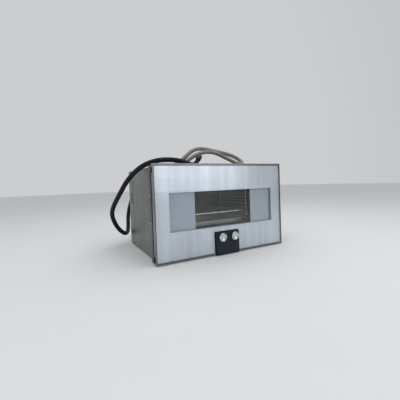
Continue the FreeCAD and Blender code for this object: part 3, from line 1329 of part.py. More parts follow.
INLET_ROUTE = [
    (-300, 386, 314), (-310, 409, 280), (-323, 416, 238), (-336, 412, 194), (-346, 396, 150),
    (-353, 367, 111),
    (-362, 329, 82), (-380, 291, 70), (-407, 264, 87), (-438, 242, 126), (-466, 216, 178), (-484, 180, 230),
    (-483, 138, 270), (-470, 94, 311), (-452, 49, 354), (-429, -2, 404), (-397, -56, 446),
    (-364, -103, 474),
    (-330, -134, 491), (-288, -147, 499), (-241, -145, 500), (-190, -133, 495), (-143, -117, 483),
    (-108, -102, 470), (-79, -90, 468), (-56, -80, 480), (-40, -72, 500),
]
DRAIN_ROUTE = [
    (-61, 393, 323), (-64, 413, 358), (-68, 416, 399), (-74, 402, 438), (-84, 371, 466), (-96, 327, 481),
    (-110, 268, 481), (-127, 206, 471), (-146, 150, 465), (-160, 100, 465), (-162, 61, 467),
    (-149, 29, 475),
    (-124, 10, 490), (-96, 3, 512), (-67, 1, 540), (-30, 0, 568), (16, 0, 578), (65, 0, 573), (116, 0, 565),
    (171, 0, 559), (226, 1, 550), (275, 2, 536), (309, -6, 516), (319, -30, 492), (298, -52, 474),
    (257, -56, 478), (211, -48, 496), (166, -43, 516), (123, -42, 535), (80, -42, 547), (36, -42, 549),
    (-9, -42, 541), (-51, -41, 523), (-84, -38, 501), (-118, -31, 479), (-157, -17, 466), (-200, 6, 464),
    (-237, 42, 464), (-258, 92, 464),
]


# share of each straight run that the arc at its end takes up
ARC_SHARE = 0.45


def tube_path(points):
    """Straight runs joined by tangent arcs, each arc as large as its two runs allow."""
    edges, radii = [], []
    begin = points[0]
    for before, corner, after in zip(points, points[1:], points[2:]):
        incoming = (corner - before).normalize()
        outgoing = (after - corner).normalize()
        half_turn = incoming.getAngle(outgoing) / 2
        trim = ARC_SHARE * min((corner - before).Length, (after - corner).Length)
        radii.append(trim / math.tan(half_turn))
        enter = corner - incoming * trim
        leave = corner + outgoing * trim
        bisector = (outgoing - incoming).normalize()
        middle = corner + bisector * (radii[-1] / math.cos(half_turn) - radii[-1])
        edges.append(Part.LineSegment(begin, enter).toShape())
        edges.append(Part.Arc(enter, middle, leave).toShape())
        begin = leave
    edges.append(Part.LineSegment(begin, points[-1]).toShape())
    return Part.Wire(edges), radii


def self_gap(wire, diameter):
    """The least gap between stretches of a tube that aren't neighbours along it."""
    spots = wire.discretize(Distance=diameter / 2)
    reach = 8
    return min(
        first.distanceToPoint(second) - diameter
        for index, first in enumerate(spots)
        for second in spots[index + reach:]
    )


def make_hose(label, fitting, route, diameter):
    """A free hose: a round tube from its fitting along its route."""
    points = [FreeCAD.Vector(*point) for point in fitting + route]
    wire, radii = tube_path(points)
    start = Part.Circle(points[0], points[1] - points[0], diameter / 2)
    section = Part.Wire([start.toShape()])
    solid = wire.makePipeShell([section], True, False)
    hose = doc.addObject("Part::Feature", label)
    hose.Label = label
    hose.Shape = solid
    parts.append(hose)
    share = solid.Volume / (math.pi * diameter ** 2 / 4 * wire.Length)
    print(label, "length", round(wire.Length), "volume share", round(share, 4),
          "radii", [round(radius) for radius in radii], "self gap", round(self_gap(wire, diameter), 1))
    return points


def make_hoses():
    """The black inlet hose with the nut on its free end, and the grey drain hose."""
    front = num(FRONT)
    exit_run = 40
    inlet_start = front + num("body_depth + nut_start + nut_length")
    across = -num("boiler_across")
    inlet_fitting = [(across, inlet_start, num("valve_height")),
                     (across, inlet_start + exit_run, num("valve_height"))]
    inlet = make_hose("inlet_hose", inlet_fitting, INLET_ROUTE, num("inlet_hose_diameter"))
    heading = (inlet[-1] - inlet[-2]).normalize()
    nut = Part.makeCylinder(num("end_nut_diameter") / 2, num("end_nut_length"), inlet[-1], heading)
    bore = Part.makeCylinder(num("end_nut_bore") / 2, num("end_nut_length") - num("nut_wall"),
                             inlet[-1] + heading * num("nut_wall"), heading)
    end_nut = doc.addObject("Part::Feature", "hose_end_nut")
    end_nut.Label = "hose_end_nut"
    end_nut.Shape = nut.cut(bore)
    parts.append(end_nut)

    drain_start = front + num("body_depth + cuff_start + cuff_length")
    across = -num("drain_across")
    drain_fitting = [(across, drain_start, num("drain_height")),
                     (across, drain_start + exit_run, num("drain_height"))]
    make_hose("drain_hose", drain_fitting, DRAIN_ROUTE, num("drain_hose_diameter"))


def check_and_write():
    """Stops on a failed object, an empty cut or a bad shape, then writes one file for each sub-part."""
    doc.recompute()
    failed = [item.Label for item in doc.Objects if "Invalid" in item.State or "Error" in item.State]
    if failed:
        raise RuntimeError(f"failed: {failed}")
    for item in doc.Objects:
        if item.TypeId == "PartDesign::Pocket" and item.Shape.Volume > item.BaseFeature.Shape.Volume - 0.01:
            raise RuntimeError(f"{item.Name} cuts nothing")
    bad = [item.Label for item in parts if item.Shape.isNull() or not item.Shape.isValid()]
    if bad:
        raise RuntimeError(f"bad shape: {bad}")
    os.makedirs("parts", exist_ok=True)
    for item in parts:
        item.Shape.exportStep(f"parts/{item.Label}.step")
    print(len(parts), "sub-parts")


make_base()
make_side("left_side_panel", -1)
make_side("right_side_panel", 1)
make_top()
make_rear()
make_front_frame()
make_cavity()
make_lamp()
make_baffle()
make_fan()
make_rack("left_rack", -1)
make_rack("right_rack", 1)
make_shelf()
make_tray()
make_blower()
make_steam()
make_drain()
make_electrics()
make_module()
make_knob("left_knob", -1)
make_knob("right_knob", 1)
make_panes()
make_shell()
make_trims()
make_hinges()
make_hoses()
check_and_write()
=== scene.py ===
"""Looks of a built-in combi-steam oven: finishes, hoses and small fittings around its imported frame."""

import functools
import logging
import math
from dataclasses import dataclass
from enum import Enum
from typing import Callable, Sequence

import bpy
from mathutils import Euler, Matrix, Vector


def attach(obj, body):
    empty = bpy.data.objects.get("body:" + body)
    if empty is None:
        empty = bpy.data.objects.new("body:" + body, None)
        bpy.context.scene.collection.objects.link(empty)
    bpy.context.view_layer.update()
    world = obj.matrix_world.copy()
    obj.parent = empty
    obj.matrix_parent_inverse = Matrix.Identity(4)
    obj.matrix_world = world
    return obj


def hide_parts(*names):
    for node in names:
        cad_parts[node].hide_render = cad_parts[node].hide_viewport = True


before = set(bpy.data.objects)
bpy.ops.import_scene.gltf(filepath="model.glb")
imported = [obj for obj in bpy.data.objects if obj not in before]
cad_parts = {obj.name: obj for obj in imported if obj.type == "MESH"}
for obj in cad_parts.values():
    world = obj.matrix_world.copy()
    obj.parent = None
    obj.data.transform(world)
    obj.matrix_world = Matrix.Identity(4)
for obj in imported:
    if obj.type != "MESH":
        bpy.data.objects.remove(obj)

log = logging.getLogger("oven")
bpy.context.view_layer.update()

Point = tuple[float, float, float]
Colour = tuple[float, float, float]
Span = tuple[float, float]
Face = tuple[int, ...]
Node = bpy.types.Node
Piece = bpy.types.Object
Socket = bpy.types.NodeSocket
Tree = bpy.types.NodeTree
Filler = Callable[[Tree], None]

MM = 0.001
SMOOTH_ANGLE = 35.0
SHARP_ANGLE = 60.0
CORNER_STEPS = 8
EDGE_STEPS = 2


class Run(Enum):
    """Which way the fine lines of a metal surface run."""

    LEVEL = (5.0, 5.0, 1500.0)
    UPRIGHT = (900.0, 900.0, 4.0)
    DEEP = (900.0, 4.0, 900.0)
    CAST = (260.0, 260.0, 260.0)


class Axis(Enum):
    """The turn that points a piece made upright to the back or to the front."""

    BACK = Matrix.Rotation(math.radians(-90), 4, "X")
    FRONT = Matrix.Rotation(math.radians(90), 4, "X")


class Side(Enum):
    """The turn that makes a plate of the front face one of the sides."""

    LEFT = Matrix.Rotation(math.radians(-90), 4, "Z")
    RIGHT = Matrix.Rotation(math.radians(90), 4, "Z")


# Shared shader groups

@functools.cache
def shared_group(fill: Filler) -> Tree:
    """Gives the shader group that a function fills and names, and builds it the first time.

    Args:
        fill: Fills the new group's tree.

    Returns:
        The group's node tree.
    """
    tree = bpy.data.node_groups.new(fill.__name__, "ShaderNodeTree")
    fill(tree)
    return tree


def sockets(tree: Tree, inputs: dict[str, str], outputs: dict[str, str]) -> tuple[Node, Node]:
    """Gives a group its named sockets and its two end nodes.

    Args:
        tree: The group's tree.
        inputs: Name and kind of each input.
        outputs: Name and kind of each output.

    Returns:
        The group's input node and output node.
    """
    for name, kind in inputs.items():
        tree.interface.new_socket(name=name, in_out="INPUT", socket_type=f"NodeSocket{kind}")
    for name, kind in outputs.items():
        tree.interface.new_socket(name=name, in_out="OUTPUT", socket_type=f"NodeSocket{kind}")
    return tree.nodes.new("NodeGroupInput"), tree.nodes.new("NodeGroupOutput")


def put(tree: Tree, value: Socket | float | tuple, target: Socket) -> None:
    """Links a value to an input, or sets the input where the value is plain."""
    if isinstance(value, Socket):
        tree.links.new(value, target)
    else:
        target.default_value = value


def calculate(tree: Tree, kind: str, operation: str, values: Sequence[Socket | float | Point]) -> Node:
    """Adds a sum to a tree.

    Args:
        tree: The tree that gets the node.
        kind: Blender's name of the node.
        operation: Blender's name of the operation.
        values: What goes into its first inputs, as sockets or plain.

    Returns:
        The node.
    """
    node = tree.nodes.new(kind)
    node.operation = operation
    for value, target in zip(values, node.inputs):
        put(tree, value, target)
    return node


def vector_math(tree: Tree, operation: str, *values: Socket | Point) -> Socket:
    """Adds a sum of vectors to a tree and gives its result."""
    return calculate(tree, "ShaderNodeVectorMath", operation, values).outputs["Vector"]


def plain_math(tree: Tree, operation: str, *values: Socket | float) -> Socket:
    """Adds a sum of numbers to a tree and gives its result."""
    return calculate(tree, "ShaderNodeMath", operation, values).outputs["Value"]


def scaled(tree: Tree, vector: Socket | Point, factor: Socket) -> Socket:
    """Adds a vector times a number to a tree and gives the result."""
    node = calculate(tree, "ShaderNodeVectorMath", "SCALE", [vector])
    tree.links.new(factor, node.inputs["Scale"])
    return node.outputs["Vector"]


def map_range(tree: Tree, value: Socket, source: Span, target: Span, soft: bool = False) -> Socket:
    """Adds a map from one range of numbers to another to a tree.

    Args:
        tree: The tree that gets the node.
        value: The number to map.
        source: The range it comes from.
        target: The range it goes to.
        soft: Whether the map eases in and out.

    Returns:
        The mapped number.
    """
    node = tree.nodes.new("ShaderNodeMapRange")
    if soft:
        node.interpolation_type = "SMOOTHSTEP"
    for name, limit in zip(("From Min", "From Max", "To Min", "To Max"), (*source, *target)):
        node.inputs[name].default_value = limit
    tree.links.new(value, node.inputs["Value"])
    return node.outputs["Result"]


def noise(tree: Tree, vector: Socket, scale: Socket | float, detail: float) -> Socket:
    """Adds a noise texture to a tree and gives its factor.

    Args:
        tree: The tree that gets the node.
        vector: Where the noise is read.
        scale: Patches per metre, as a socket or as a value.
        detail: How many finer layers are added.

    Returns:
        The noise's factor, about 0.5 on the mean.
    """
    node = tree.nodes.new("ShaderNodeTexNoise")
    node.inputs["Detail"].default_value = detail
    tree.links.new(vector, node.inputs["Vector"])
    put(tree, scale, node.inputs["Scale"])
    return node.outputs["Fac"]


def fine_lines(tree: Tree) -> None:
    """Fills the group of fine lines drawn out along a surface: a mask, and a normal tilted across them."""
    start, end = sockets(
        tree,
        {"Vector": "Vector", "Stretch": "Vector", "Tilt": "Vector"},
        {"Mask": "Float", "Normal": "Vector"},
    )
    drawn = vector_math(tree, "MULTIPLY", start.outputs["Vector"], start.outputs["Stretch"])
    lines = noise(tree, drawn, scale=1.0, detail=2.0)
    lean = scaled(tree, start.outputs["Tilt"], plain_math(tree, "SUBTRACT", lines, 0.5))
    geometry = tree.nodes.new("ShaderNodeNewGeometry")
    leaning = vector_math(tree, "ADD", geometry.outputs["Normal"], lean)
    tree.links.new(lines, end.inputs["Mask"])
    tree.links.new(vector_math(tree, "NORMALIZE", leaning), end.inputs["Normal"])


def handling_marks(tree: Tree) -> None:
    """Fills the group of soft uneven patches: broad ones times others six times as close."""
    start, end = sockets(tree, {"Vector": "Vector", "Scale": "Float"}, {"Mask": "Float"})
    broad = noise(tree, start.outputs["Vector"], start.outputs["Scale"], detail=5.0)
    finer = plain_math(tree, "MULTIPLY", start.outputs["Scale"], 6.0)
    close = noise(tree, start.outputs["Vector"], finer, detail=3.0)
    mixed = plain_math(tree, "MULTIPLY", broad, close)
    mask = map_range(tree, mixed, source=(0.08, 0.46), target=(0.0, 1.0), soft=True)
    tree.links.new(mask, end.inputs["Mask"])


def zinc_spangle(tree: Tree) -> None:
    """Fills the group of zinc crystal patches."""
    start, end = sockets(tree, {"Vector": "Vector", "Scale": "Float"}, {"Mask": "Float"})
    cells = tree.nodes.new("ShaderNodeTexVoronoi")
    tree.links.new(start.outputs["Vector"], cells.inputs["Vector"])
    tree.links.new(start.outputs["Scale"], cells.inputs["Scale"])
    grey = tree.nodes.new("ShaderNodeRGBToBW")
    tree.links.new(cells.outputs["Color"], grey.inputs["Color"])
    tree.links.new(grey.outputs["Val"], end.inputs["Mask"])


def woven_cover(tree: Tree) -> None:
    """Fills the group of crossing strands: the map's X is along the hose and Y is round it."""
    start, end = sockets(
        tree,
        {"Vector": "Vector", "Along": "Float", "Round": "Float"},
        {"Height": "Float", "Mask": "Float"},
    )
    parts = tree.nodes.new("ShaderNodeSeparateXYZ")
    tree.links.new(start.outputs["Vector"], parts.inputs["Vector"])
    along = plain_math(tree, "MULTIPLY", parts.outputs["X"], start.outputs["Along"])
    around = plain_math(tree, "MULTIPLY", parts.outputs["Y"], start.outputs["Round"])
    right = plain_math(tree, "SINE", plain_math(tree, "ADD", along, around))
    left = plain_math(tree, "SINE", plain_math(tree, "SUBTRACT", along, around))
    tree.links.new(plain_math(tree, "MAXIMUM", right, left), end.inputs["Height"])
    tree.links.new(plain_math(tree, "MULTIPLY", right, left), end.inputs["Mask"])


def hose_rings(tree: Tree) -> None:
    """Fills the group of fine rings: the map's X is along the hose."""
    start, end = sockets(tree, {"Vector": "Vector", "Along": "Float"}, {"Height": "Float"})
    parts = tree.nodes.new("ShaderNodeSeparateXYZ")
    tree.links.new(start.outputs["Vector"], parts.inputs["Vector"])
    along = plain_math(tree, "MULTIPLY", parts.outputs["X"], start.outputs["Along"])
    tree.links.new(plain_math(tree, "SINE", along), end.inputs["Height"])


class Shader:
    """A material in the making: its tree, its Principled shader and its coordinates."""

    def __init__(self, name: str) -> None:
        """Starts a material with a Principled shader at its output."""
        self.material = bpy.data.materials.new(name)
        self.material.use_nodes = True
        self.tree = self.material.node_tree
        self.tree.nodes.clear()
        self.output = self.tree.nodes.new("ShaderNodeOutputMaterial")
        self.surface = self.tree.nodes.new("ShaderNodeBsdfPrincipled")
        self.tree.links.new(self.surface.outputs["BSDF"], self.output.inputs["Surface"])
        self.places = self.tree.nodes.new("ShaderNodeTexCoord")

    def group(self, fill: Filler, place: str = "Object", **values: float | Point) -> Node:
        """Places a shared group in the material.

        Args:
            fill: Fills the group's tree.
            place: Which coordinates its Vector input reads.
            values: What its other inputs are set to.

        Returns:
            The group's node.
        """
        node = self.tree.nodes.new("ShaderNodeGroup")
        node.node_tree = shared_group(fill)
        self.tree.links.new(self.places.outputs[place], node.inputs["Vector"])
        for name, value in values.items():
            node.inputs[name].default_value = value
        return node

    def spread(self, mask: Socket, low: float, high: float) -> Socket:
        """Maps a mask from 0 to 1 onto a range from low to high."""
        return map_range(self.tree, mask, (0.0, 1.0), (low, high))

    def shade(self, mask: Socket, colour: Socket | Colour, depth: float) -> Socket:
        """Varies a colour with a mask.

        Args:
            mask: A mask from 0 to 1.
            colour: The colour at the middle of the mask.
            depth: By what share the colour falls and rises at the mask's ends.

        Returns:
            The varied colour.
        """
        return scaled(self.tree, colour, self.spread(mask, 1.0 - depth, 1.0 + depth))

    def feed(self, name: str, value: Socket | float | tuple) -> None:
        """Sets or links one input of the Principled shader."""
        put(self.tree, value, self.surface.inputs[name])

    def paint(self, mask: Socket, colour: Colour, depth: float, rough: Span) -> None:
        """Feeds the shader a colour and a roughness that vary with one mask.

        Args:
            mask: A mask from 0 to 1.
            colour: The colour at the middle of the mask.
            depth: By what share the colour falls and rises at the mask's ends.
            rough: The roughness at the mask's ends.
        """
        self.feed("Base Color", self.shade(mask, colour, depth))
        self.feed("Roughness", self.spread(mask, *rough))

    def bump(self, height: Socket, distance: float) -> None:
        """Raises the surface by a height mask, with a rise of the distance at a mask of 1."""
        node = self.tree.nodes.new("ShaderNodeBump")
        node.inputs["Distance"].default_value = distance
        node.inputs["Strength"].default_value = 1.0
        self.tree.links.new(height, node.inputs["Height"])
        self.tree.links.new(node.outputs["Normal"], self.surface.inputs["Normal"])


# Finishes

class Finish:
    """A finish that makes its material once."""

    name: str

    @functools.cache
    def material(self) -> bpy.types.Material:
        """Gives the finish's material, and builds it the first time."""
        shader = Shader(self.name)
        self.fill(shader)
        return shader.material

    def fill(self, shader: Shader) -> None:
        """Builds the finish's nodes."""
        raise NotImplementedError


@dataclass(frozen=True)
class Metal(Finish):
    """Sheet, drawn, cast or brushed metal with fine lines, faint streaks and handling marks."""

    name: str
    colour: Colour
    rough: float = 0.35
    metallic: float = 0.9
    run: Run = Run.LEVEL
    tilt: Point = (0.0, 0.0, 0.2)
    streak: Point = (14.0, 14.0, 1.0)
    streak_depth: float = 0.08
    spangle: float = 0.0
    anisotropic: float = 0.0
    marks: float = 0.12
    marks_scale: float = 7.0
    spangle_scale: float = 95.0

    def fill(self, shader: Shader) -> None:
        """Builds the metal's nodes."""
        lines = shader.group(fine_lines, Stretch=self.run.value, Tilt=self.tilt)
        streaks = shader.group(fine_lines, Stretch=self.streak, Tilt=(0.0, 0.0, 0.0))
        soil = shader.group(handling_marks, Scale=self.marks_scale)
        colour = shader.shade(streaks.outputs["Mask"], self.colour, 2.0 * self.streak_depth)
        colour = shader.shade(lines.outputs["Mask"], colour, self.streak_depth)
        if self.spangle:
            cells = shader.group(zinc_spangle, Scale=self.spangle_scale)
            colour = shader.shade(cells.outputs["Mask"], colour, self.spangle)
        shader.feed("Base Color", colour)
        shader.feed("Metallic", self.metallic)
        shader.feed("Roughness", shader.spread(
            soil.outputs["Mask"], self.rough * (1.0 - self.marks), self.rough * (1.0 + self.marks)))
        shader.feed("Normal", lines.outputs["Normal"])
        if self.anisotropic:
            shader.feed("Anisotropic", self.anisotropic)
            tangent = shader.tree.nodes.new("ShaderNodeTangent")
            tangent.direction_type = "RADIAL"
            tangent.axis = "Y"
            shader.feed("Tangent", tangent.outputs["Tangent"])


@dataclass(frozen=True)
class Moulded(Finish):
    """Moulded plastic, rubber or ceramic with a fine grain."""

    name: str
    colour: Colour
    rough: float = 0.5
    grain: float = 900.0
    grain_depth: float = 0.04 * MM
    coat: float = 0.0
    mottle: float = 0.06
    shine: float = 0.5
    mottle_scale: float = 9.0
    rough_spread: Span = (0.9, 1.15)

    def fill(self, shader: Shader) -> None:
        """Builds the moulded surface's nodes."""
        soil = shader.group(handling_marks, Scale=self.mottle_scale)
        pores = shader.group(handling_marks, Scale=self.grain)
        smoother, rougher = (self.rough * share for share in self.rough_spread)
        shader.paint(soil.outputs["Mask"], self.colour, self.mottle, (smoother, min(1.0, rougher)))
        shader.feed("Coat Weight", self.coat)
        shader.feed("Specular IOR Level", self.shine)
        shader.bump(pores.outputs["Mask"], self.grain_depth)


@dataclass(frozen=True)
class Glass(Finish):
    """A clear pane that lets lamps through to what is behind it, with faint wiping marks."""

    name: str
    tint: Colour
    index: float = 1.5
    rough: Span = (0.005, 0.025)
    marks: float = 0.02
    marks_scale: float = 5.0

    def fill(self, shader: Shader) -> None:
        """Builds the pane's nodes."""
        tree = shader.tree
        wiped = shader.group(handling_marks, Scale=self.marks_scale)
        shader.paint(wiped.outputs["Mask"], self.tint, self.marks, self.rough)
        shader.feed("Transmission Weight", 1.0)
        shader.feed("IOR", self.index)
        path = tree.nodes.new("ShaderNodeLightPath").outputs
        thrown_back = plain_math(tree, "SUBTRACT", path["Is Glossy Ray"], path["Is Transmission Ray"])
        onward = plain_math(tree, "MAXIMUM", thrown_back, path["Is Diffuse Ray"])
        onward = plain_math(tree, "MAXIMUM", onward, path["Is Shadow Ray"])
        clear = tree.nodes.new("ShaderNodeBsdfTransparent")
        mixed = tree.nodes.new("ShaderNodeMixShader")
        tree.links.new(onward, mixed.inputs["Fac"])
        tree.links.new(shader.surface.outputs["BSDF"], mixed.inputs[1])
        tree.links.new(clear.outputs["BSDF"], mixed.inputs[2])
        tree.links.new(mixed.outputs["Shader"], shader.output.inputs["Surface"])


@dataclass(frozen=True)
class Woven(Finish):
    """The woven cover of the inlet hose, with painted shade where its strands dip between crossings."""

    name: str
    colour: Colour
    along: float
    round: float
    rough: Span
    shade_depth: float = 0.45
    shine: float = 0.22
    relief: float = 0.6 * MM

    def fill(self, shader: Shader) -> None:
        """Builds the woven cover's nodes."""
        strands = shader.group(woven_cover, "UV", Along=self.along, Round=self.round)
        # Painted shade: the colour follows the strands' height and darkens where they dip between crossings.
        shader.feed("Base Color", shader.shade(strands.outputs["Height"], self.colour, self.shade_depth))
        shader.feed("Roughness", shader.spread(strands.outputs["Mask"], *self.rough))
        shader.feed("Specular IOR Level", self.shine)
        shader.bump(strands.outputs["Height"], self.relief)


@dataclass(frozen=True)
class Drawn(Finish):
    """The smooth wall of the drain hose, with fine rings and scuffs."""

    name: str
    colour: Colour
    along: float
    rough: Span = (0.304, 0.494)
    scuffs: float = 0.10
    scuffs_scale: float = 14.0
    relief: float = 0.25 * MM

    def fill(self, shader: Shader) -> None:
        """Builds the hose wall's nodes."""
        rings = shader.group(hose_rings, "UV", Along=self.along)
        soil = shader.group(handling_marks, Scale=self.scuffs_scale)
        shader.paint(soil.outputs["Mask"], self.colour, self.scuffs, self.rough)
        shader.bump(rings.outputs["Height"], self.relief)


@dataclass(frozen=True)
class Patterned(Finish):
    """A surface with its colour, roughness and relief all after one pattern, such as tufts or tracks."""

    name: str
    colour: Colour
    pattern: Filler
    scale: float
    rough: Span
    shade_depth: float
    relief: float

    def fill(self, shader: Shader) -> None:
        """Builds the patterned surface's nodes."""
        pattern = shader.group(self.pattern, Scale=self.scale).outputs["Mask"]
        shader.paint(pattern, self.colour, self.shade_depth, self.rough)
        shader.bump(pattern, self.relief)


ZINC = Metal("zinc_sheet", (0.20, 0.212, 0.207), 0.46, 0.75, Run.UPRIGHT, (0.05, 0.05, 0.0),
             (16.0, 16.0, 0.7), 0.06, 0.05)
FRAME_STEEL = Metal("frame_steel", (0.10, 0.104, 0.107), 0.42, 0.8, Run.UPRIGHT, (0.05, 0.05, 0.0))
FASTENER = Metal("fastener_steel", (0.62, 0.62, 0.62), 0.3, 0.95, Run.CAST, (0.05, 0.05, 0.05))
CAVITY = Metal("cavity_steel", (0.28, 0.30, 0.265), 0.26, 0.92, Run.LEVEL, (0.0, 0.0, 0.06),
               streak_depth=0.02, marks=0.04)
TRAY = Metal("tray_steel", (0.50, 0.50, 0.49), 0.3, 0.85, Run.LEVEL, (0.0, 0.0, 0.1))
FACING = Metal("facing_steel", (0.57, 0.612, 0.665), 0.3, 0.85, Run.LEVEL, (0.0, 0.0, 0.3),
               (26.0, 26.0, 0.5), 0.13, marks=0.05)
TRIM = Metal("trim_metal", (0.22, 0.228, 0.24), 0.3, 0.9, Run.UPRIGHT, (0.02, 0.02, 0.0), streak_depth=0.02)
SHELL = Metal("shell_steel", (0.14, 0.145, 0.15), 0.45, 0.6, Run.UPRIGHT, (0.04, 0.04, 0.0))
SPUN = Metal("knob_metal", (0.64, 0.64, 0.64), 0.15, 1.0, Run.CAST, (0.03, 0.0, 0.03),
             (30.0, 30.0, 30.0), 0.03, anisotropic=0.6)
PRESSED = Metal("fan_aluminium", (0.60, 0.61, 0.62), 0.38, 0.95, Run.DEEP, (0.06, 0.0, 0.06))
HEATED = Metal("heater_steel", (0.16, 0.14, 0.13), 0.45, 0.8, Run.CAST, (0.08, 0.08, 0.08))
CHROME = Metal("wire_chrome", (0.82, 0.82, 0.83), 0.2, 0.9, Run.CAST, (0.02, 0.02, 0.02))
BOILER = Metal("boiler_steel", (0.55, 0.55, 0.53), 0.34, 0.95, Run.UPRIGHT, (0.06, 0.06, 0.0))
MASK = Metal("mask_grey", (0.34, 0.382, 0.432), 0.5, 0.35, Run.LEVEL, (0.0, 0.0, 0.12), (7.0, 7.0, 0.5), 0.04)
MOTOR = Moulded("motor_black", (0.03, 0.03, 0.033), 0.45, coat=0.1)
MODULE = Moulded("module_black", (0.009, 0.017, 0.027), 0.36, 1400.0, 0.02 * MM, mottle=0.05, shine=0.28)
RUBBER = Moulded("foot_rubber", (0.025, 0.025, 0.026), 0.75, 700.0, 0.08 * MM)
GASKET = Moulded("gasket_rubber", (0.035, 0.035, 0.037), 0.6, 700.0, 0.06 * MM)
CUFF = Moulded("cuff_rubber", (0.04, 0.04, 0.042), 0.55)
NUT = Moulded("union_plastic", (0.02, 0.022, 0.026), 0.45)
CERAMIC = Moulded("lamp_ceramic", (0.76, 0.74, 0.67), 0.4, 500.0)
TUBE = Moulded("water_tube", (0.66, 0.64, 0.58), 0.45)
PUMP = Moulded("pump_plastic", (0.72, 0.72, 0.69), 0.48)
CARRIER = Moulded("carrier_plastic", (0.10, 0.10, 0.105), 0.55)
# Painted shade: the matt black of the sheets behind the side vents and of the caps at the door's hinge edge,
# which stand in for the shade inside slots.
SHADE_BLACK = Moulded("painted_shade_black", (0.006, 0.006, 0.007), 0.9, 700.0, shine=0.03)
FRIT = Moulded("pane_border", (0.012, 0.013, 0.015), 0.3, 1800.0, 0.01 * MM, coat=0.3)
WOOL = Patterned("mineral_wool", (0.46, 0.41, 0.28), handling_marks, 60.0, (0.85, 1.0), 0.25, 2.0 * MM)
LAMINATE = Patterned("board_green", (0.03, 0.17, 0.075), zinc_spangle, 160.0, (0.35, 0.55), 0.45, 0.2 * MM)
FRONT_PANE = Glass("front_glass", (0.95, 0.97, 0.99), 1.42)
INNER_PANE = Glass("clear_glass", (0.89, 0.91, 0.895), 1.14)
WEAVE = Woven("inlet_hose_black", (0.007, 0.008, 0.011), 9.0 * math.tau, 9.0 * math.tau, (0.5, 0.7))
DRAWN = Drawn("drain_hose_grey", (0.21, 0.205, 0.19), 20.0 * math.tau)


def dress(finish: Finish, *nodes: str) -> None:
    """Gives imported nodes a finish.

    Args:
        finish: The finish.
        nodes: The nodes' names.
    """
    for name in nodes:
        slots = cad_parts[name].data.materials
        slots.clear()
        slots.append(finish.material())
        log.info("dressed %s in %s", name, finish.name)


# Modelling by hand

def deselect() -> None:
    """Leaves nothing selected and no object in edit mode."""
    if bpy.context.object and bpy.context.object.mode != "OBJECT":
        bpy.ops.object.mode_set(mode="OBJECT")
    bpy.ops.object.select_all(action="DESELECT")


def select_all() -> None:
    """Selects the whole mesh in edit mode."""
    bpy.ops.mesh.select_all(action="SELECT")


def settle(name: str, place: Matrix, finish: Finish, body: str,
           smooth: float = SMOOTH_ANGLE) -> Piece:
    """Ends the modelling of the active object: its place goes into its mesh, and it rides on a body.

    Args:
        name: The piece's name.
        place: Where the mesh goes.
        finish: The piece's finish.
        body: The body it moves with.
        smooth: Edges flatter than this, in degrees, are shaded smooth.

    Returns:
        The finished piece.
    """
    piece = bpy.context.object
    bpy.ops.object.mode_set(mode="OBJECT")
    piece.name = name
    piece.data.name = name
    piece.data.transform(place)
    piece.data.update()
    bpy.ops.object.shade_smooth_by_angle(angle=math.radians(smooth))
    piece.data.materials.clear()
    piece.data.materials.append(finish.material())
    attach(piece, body)
    log.info("made %s", name)
    return piece


def settle_copies(name: str, places: Sequence[Matrix], finish: Finish, body: str,
                  smooth: float = SMOOTH_ANGLE) -> Piece:
    """Copies the active object to several places, joins the copies and settles them as one piece.

    Args:
        name: The piece's name.
        places: Where each copy goes.
        finish, body, smooth: As for a single piece.

    Returns:
        The finished piece.
    """
    bpy.ops.object.mode_set(mode="OBJECT")
    first = bpy.context.object
    copies = []
    for place in places:
        copy = first.copy()
        copy.data = first.data.copy()
        copy.data.transform(place)
        bpy.context.scene.collection.objects.link(copy)
        copies.append(copy)
    bpy.data.objects.remove(first)
    deselect()
    for copy in copies:
        copy.select_set(True)
    bpy.context.view_layer.objects.active = copies[0]
    bpy.ops.object.join()
    return settle(name, Matrix.Identity(4), finish, body, smooth)


@dataclass(frozen=True)
class Turning:
    """A turned piece: rings of radius and height, with a closed face on the first and the last."""

    rings: Sequence[Span]
    sides: int

    def model(self) -> None:
        """Models the turning upright at the origin and leaves it in edit mode."""
        deselect()
        radius, height = self.rings[0]
        bpy.ops.mesh.primitive_circle_add(vertices=self.sides, radius=radius, fill_type="NGON")
        bpy.ops.object.mode_set(mode="EDIT")
        select_all()
        bpy.ops.transform.translate(value=(0.0, 0.0, height))
        for wide, high in self.rings[1:]:
            bpy.ops.mesh.extrude_region_move(TRANSFORM_OT_translate={"value": (0.0, 0.0, high - height)})
            share = wide / radius
            bpy.ops.transform.resize(value=(share, share, 1.0), center_override=(0.0, 0.0, high))
            radius, height = wide, high
        select_all()
        bpy.ops.mesh.normals_make_consistent(inside=False)


